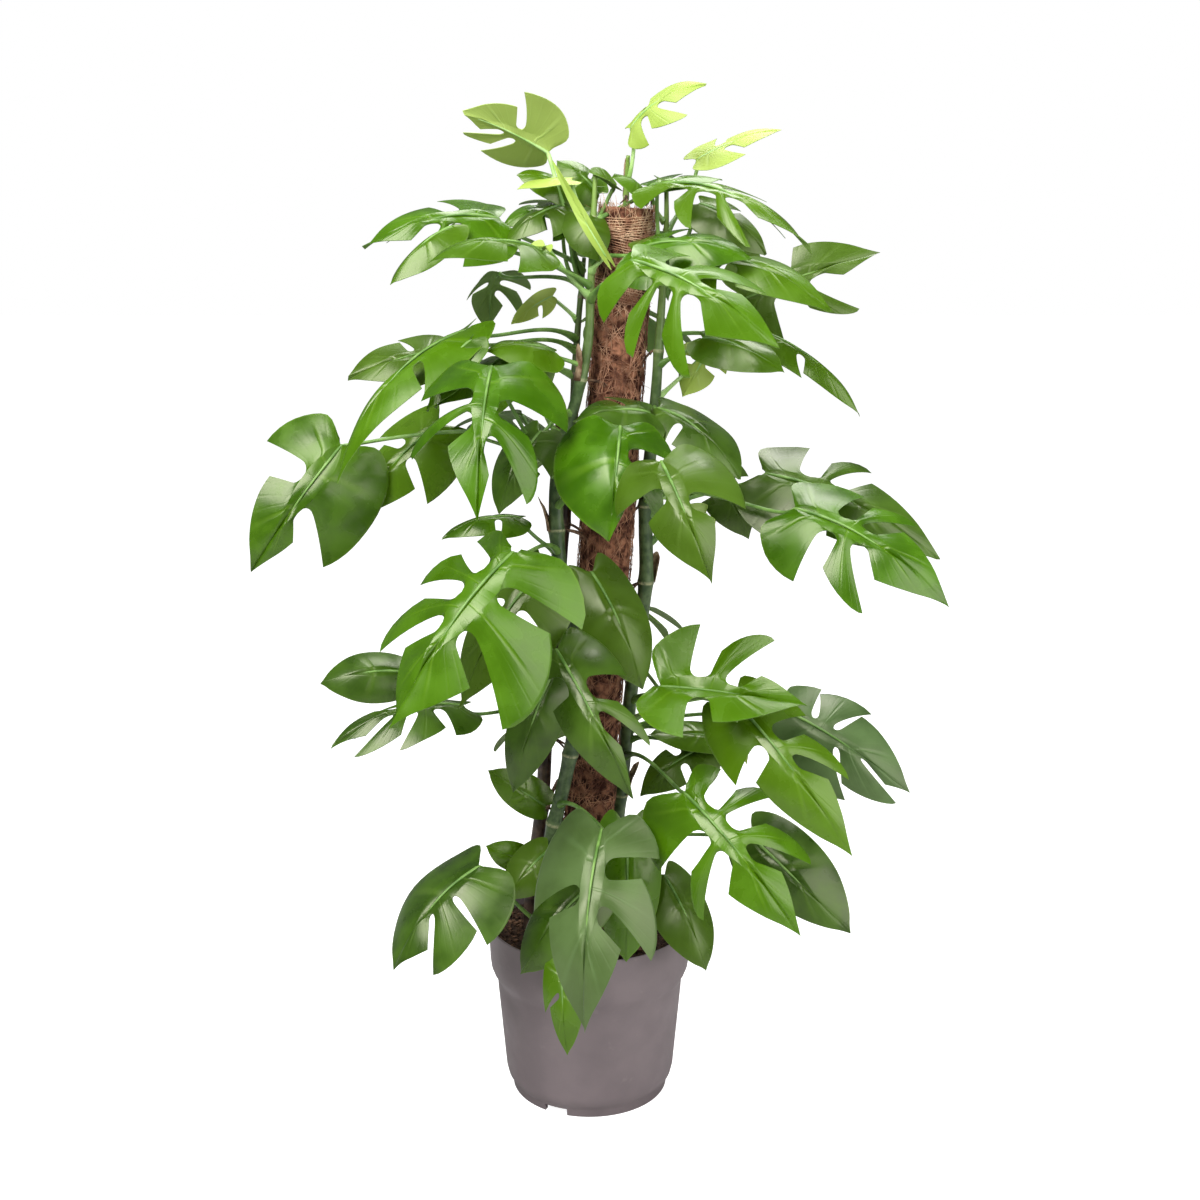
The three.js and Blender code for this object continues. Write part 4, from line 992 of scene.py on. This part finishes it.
def leaf_skin(name, dark, light, vein, roughness, glow, sheer, relief):
    material, tree, shader = new_material(name, light, roughness, 0.65)
    shader.inputs["Specular Tint"].default_value = (1.0, 1.0, 0.75, 1.0)
    side, lobe = (node(tree, "ShaderNodeSeparateXYZ", Vector=node(
        tree, "ShaderNodeUVMap", _uv_map=layer).outputs[0]).outputs for layer in ("blade", "lobe"))
    tint = node(tree, "ShaderNodeAttribute", _attribute_name="tint").outputs["Fac"]

    def off_half(value):
        return math_node(tree, "ABSOLUTE", math_node(tree, "SUBTRACT", value, 0.5))

    def off_middle(value):
        return off_half(math_node(tree, "FRACT", value))

    out_t = off_half(side[1])
    main_vein = times(tree, ramp(tree, off_middle(lobe[0]), 0.012, 0.05, 1.0, 0.0),
                      ramp(tree, lobe[1], 0.35, 0.95, 1.0, 0.15))
    veins = {
        "fine": ramp(tree, off_middle(times(tree, lobe[0], FINE_VEINS)), 0.0, 0.16, 1.0, 0.0),
        "main": main_vein,
        "midrib": ramp(tree, out_t, 0.004, 0.013, 1.0, 0.0),
        "margin": ramp(tree, out_t, 0.482, 0.499),
    }
    blotch = noise(tree, 34, 4)
    warm = tuple(min(1.0, c * k) for c, k in zip(light, (1.5, 1.22, 0.9)))
    colour = two_tone(tree, blotch, 0.32, 0.7, dark, light)
    colour = blend_colour(tree, ramp(tree, tint, 0.0, 1.0, 0.0, 0.55), colour, warm)
    for kind, shows in VEIN_SHOWS.items():
        colour = blend_colour(tree, times(tree, veins[kind], shows), colour, vein)
    finish_skin(tree, shader, colour,
                ramp(tree, blotch, 0.3, 0.7, roughness - 0.05, roughness + 0.08))
    ridges = math_node(tree, "ADD", main_vein, veins["midrib"])
    ridges = math_node(tree, "ADD", ridges, times(tree, veins["fine"], FINE_RISE))
    hills = math_node(tree, "ADD", times(tree, noise(tree, 380, 3), SPECK_RISE),
                      times(tree, ridges, relief))
    add_bump(tree, shader, hills, 0.35, 0.0008)
    through = node(tree, "ShaderNodeBsdfTranslucent", Color=(*glow, 1.0))
    mixed = node(tree, "ShaderNodeMixShader", Fac=sheer, i1=shader.outputs[0], i2=through.outputs[0])
    tree.links.new(mixed.outputs[0], tree.nodes["Material Output"].inputs["Surface"])
    return material


TONES = {  # dark, light, vein, roughness of the upper face, how much light comes through
    "young": ((0.25, 0.4, 0.05), (0.34, 0.5, 0.1), (0.48, 0.64, 0.2), 0.5, 0.1),
    "bright": ((0.028, 0.096, 0.0005), (0.065, 0.185, 0.001), (0.15, 0.3, 0.015), 0.25, 0.14),
    "mid": ((0.028, 0.086, 0.0008), (0.068, 0.175, 0.0015), (0.14, 0.27, 0.02), 0.26, 0.14),
    "deep": ((0.025, 0.066, 0.0025), (0.056, 0.132, 0.005), (0.11, 0.2, 0.025), 0.3, 0.12),
    # old: not an age but a painted sheen, the studio's white reflected, painted in as grey green
    "old": ((0.045, 0.092, 0.024), (0.082, 0.155, 0.045), (0.13, 0.22, 0.075), 0.36, 0.12),
}
SHEEN_PAINTED_LEAVES = {"low_front_1", "low_right_3"}  # these wear the old tone, a painted sheen
leaf_materials = {}
for tone, (dark, light, vein, roughness, sheer) in TONES.items():
    glow = tuple(min(1.0, c * k) for c, k in zip(light, (2.6, 2.2, 1.2)))
    pale = tuple(0.6 * c + 0.4 * g for c, g in zip(light, (0.2, 0.34, 0.13)))
    leaf_materials[tone] = [
        leaf_skin(f"leaf_{tone}_upper", dark, light, vein, roughness, glow, sheer, -1.0),
        leaf_skin(f"leaf_{tone}_lower", tuple(0.8 * c for c in pale), pale, vein, 0.6, glow, sheer,
                  1.4)]
for tone, low, high in (("young", (0.28, 0.5, 0.12), (0.45, 0.66, 0.25)),
                        ("old", (0.09, 0.2, 0.03), (0.2, 0.36, 0.08))):
    stalk_skin, tree, shader = new_material(f"stalk_{tone}", high, 0.42, 0.45)
    finish_skin(tree, shader, two_tone(tree, noise(tree, 60, 4), 0.35, 0.65, low, high))
    add_bump(tree, shader, noise(tree, 500, 3), 0.2, 0.0004)
    leaf_materials[f"stalk_{tone}"] = stalk_skin


def grow_leaf(vine, row, replaced):
    name, scar, foot, tip, width, looks, left_cuts, right_cuts, gape, form, tone = row
    chance = random.Random(name)
    foot, tip = np.array(foot) * MM, np.array(tip) * MM
    axes = blade_axes(foot, tip, looks)
    splits = [[cut / 100 for cut in cuts] for cuts in (left_cuts, right_cuts)]
    points, upper, under, rim, marks = blade(foot, tip, width * MM, axes, splits, gape / 100, form,
                                             chance)
    stalk_points, stalk_faces = stalk(vine, scar, foot, tip, axes, form)
    start = len(points)
    faces = upper + under + rim + [tuple(k + start for k in face) for face in stalk_faces]
    piece = mesh_piece(f"leaf_{name}", np.vstack((points, stalk_points)), faces)
    stalk_skin = leaf_materials["stalk_young" if tone == young else "stalk_old"]
    # the leaves listed as wearing the old tone get its painted sheen in place of their own colour
    for skin in (*leaf_materials["old" if name in SHEEN_PAINTED_LEAVES else tone], stalk_skin):
        piece.data.materials.append(skin)
    kinds = [0] * len(upper) + [1] * (len(under) + len(rim)) + [2] * len(stalk_faces)
    piece.data.polygons.foreach_set("material_index", kinds)
    marks += [(0.5, 0.0, 0.5, 0.0)] * len(stalk_points)
    corners = np.zeros(len(piece.data.loops), int)
    piece.data.loops.foreach_get("vertex_index", corners)
    marks = np.array(marks)[corners]
    blade_uv = piece.data.uv_layers.new(name="blade")
    blade_uv.data.foreach_set("uv", np.stack((marks[:, 0], 0.5 + 0.5 * marks[:, 1]), 1).ravel())
    lobe_uv = piece.data.uv_layers.new(name="lobe")
    lobe_uv.data.foreach_set("uv", marks[:, 2:4].ravel())
    float_mark(piece, "tint", [chance.random()] * len(piece.data.vertices))
    smooth_shade(piece)
    select_only(piece)
    bpy.ops.object.shade_smooth_by_angle(angle=math.radians(50))
    dress(piece, f"blade_{name}" if replaced else f"leaf_{name}", f"leaf_{tone}", *replaced)


for vine_name, rows in LEAVES.items():
    for row in rows:
        grow_leaf(vine_name, row, [f"leaf_{row[0]}"])
for vine_name, *row in SMALL_LEAVES:
    grow_leaf(vine_name, row, [])

# ---- finish ----
low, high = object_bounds()
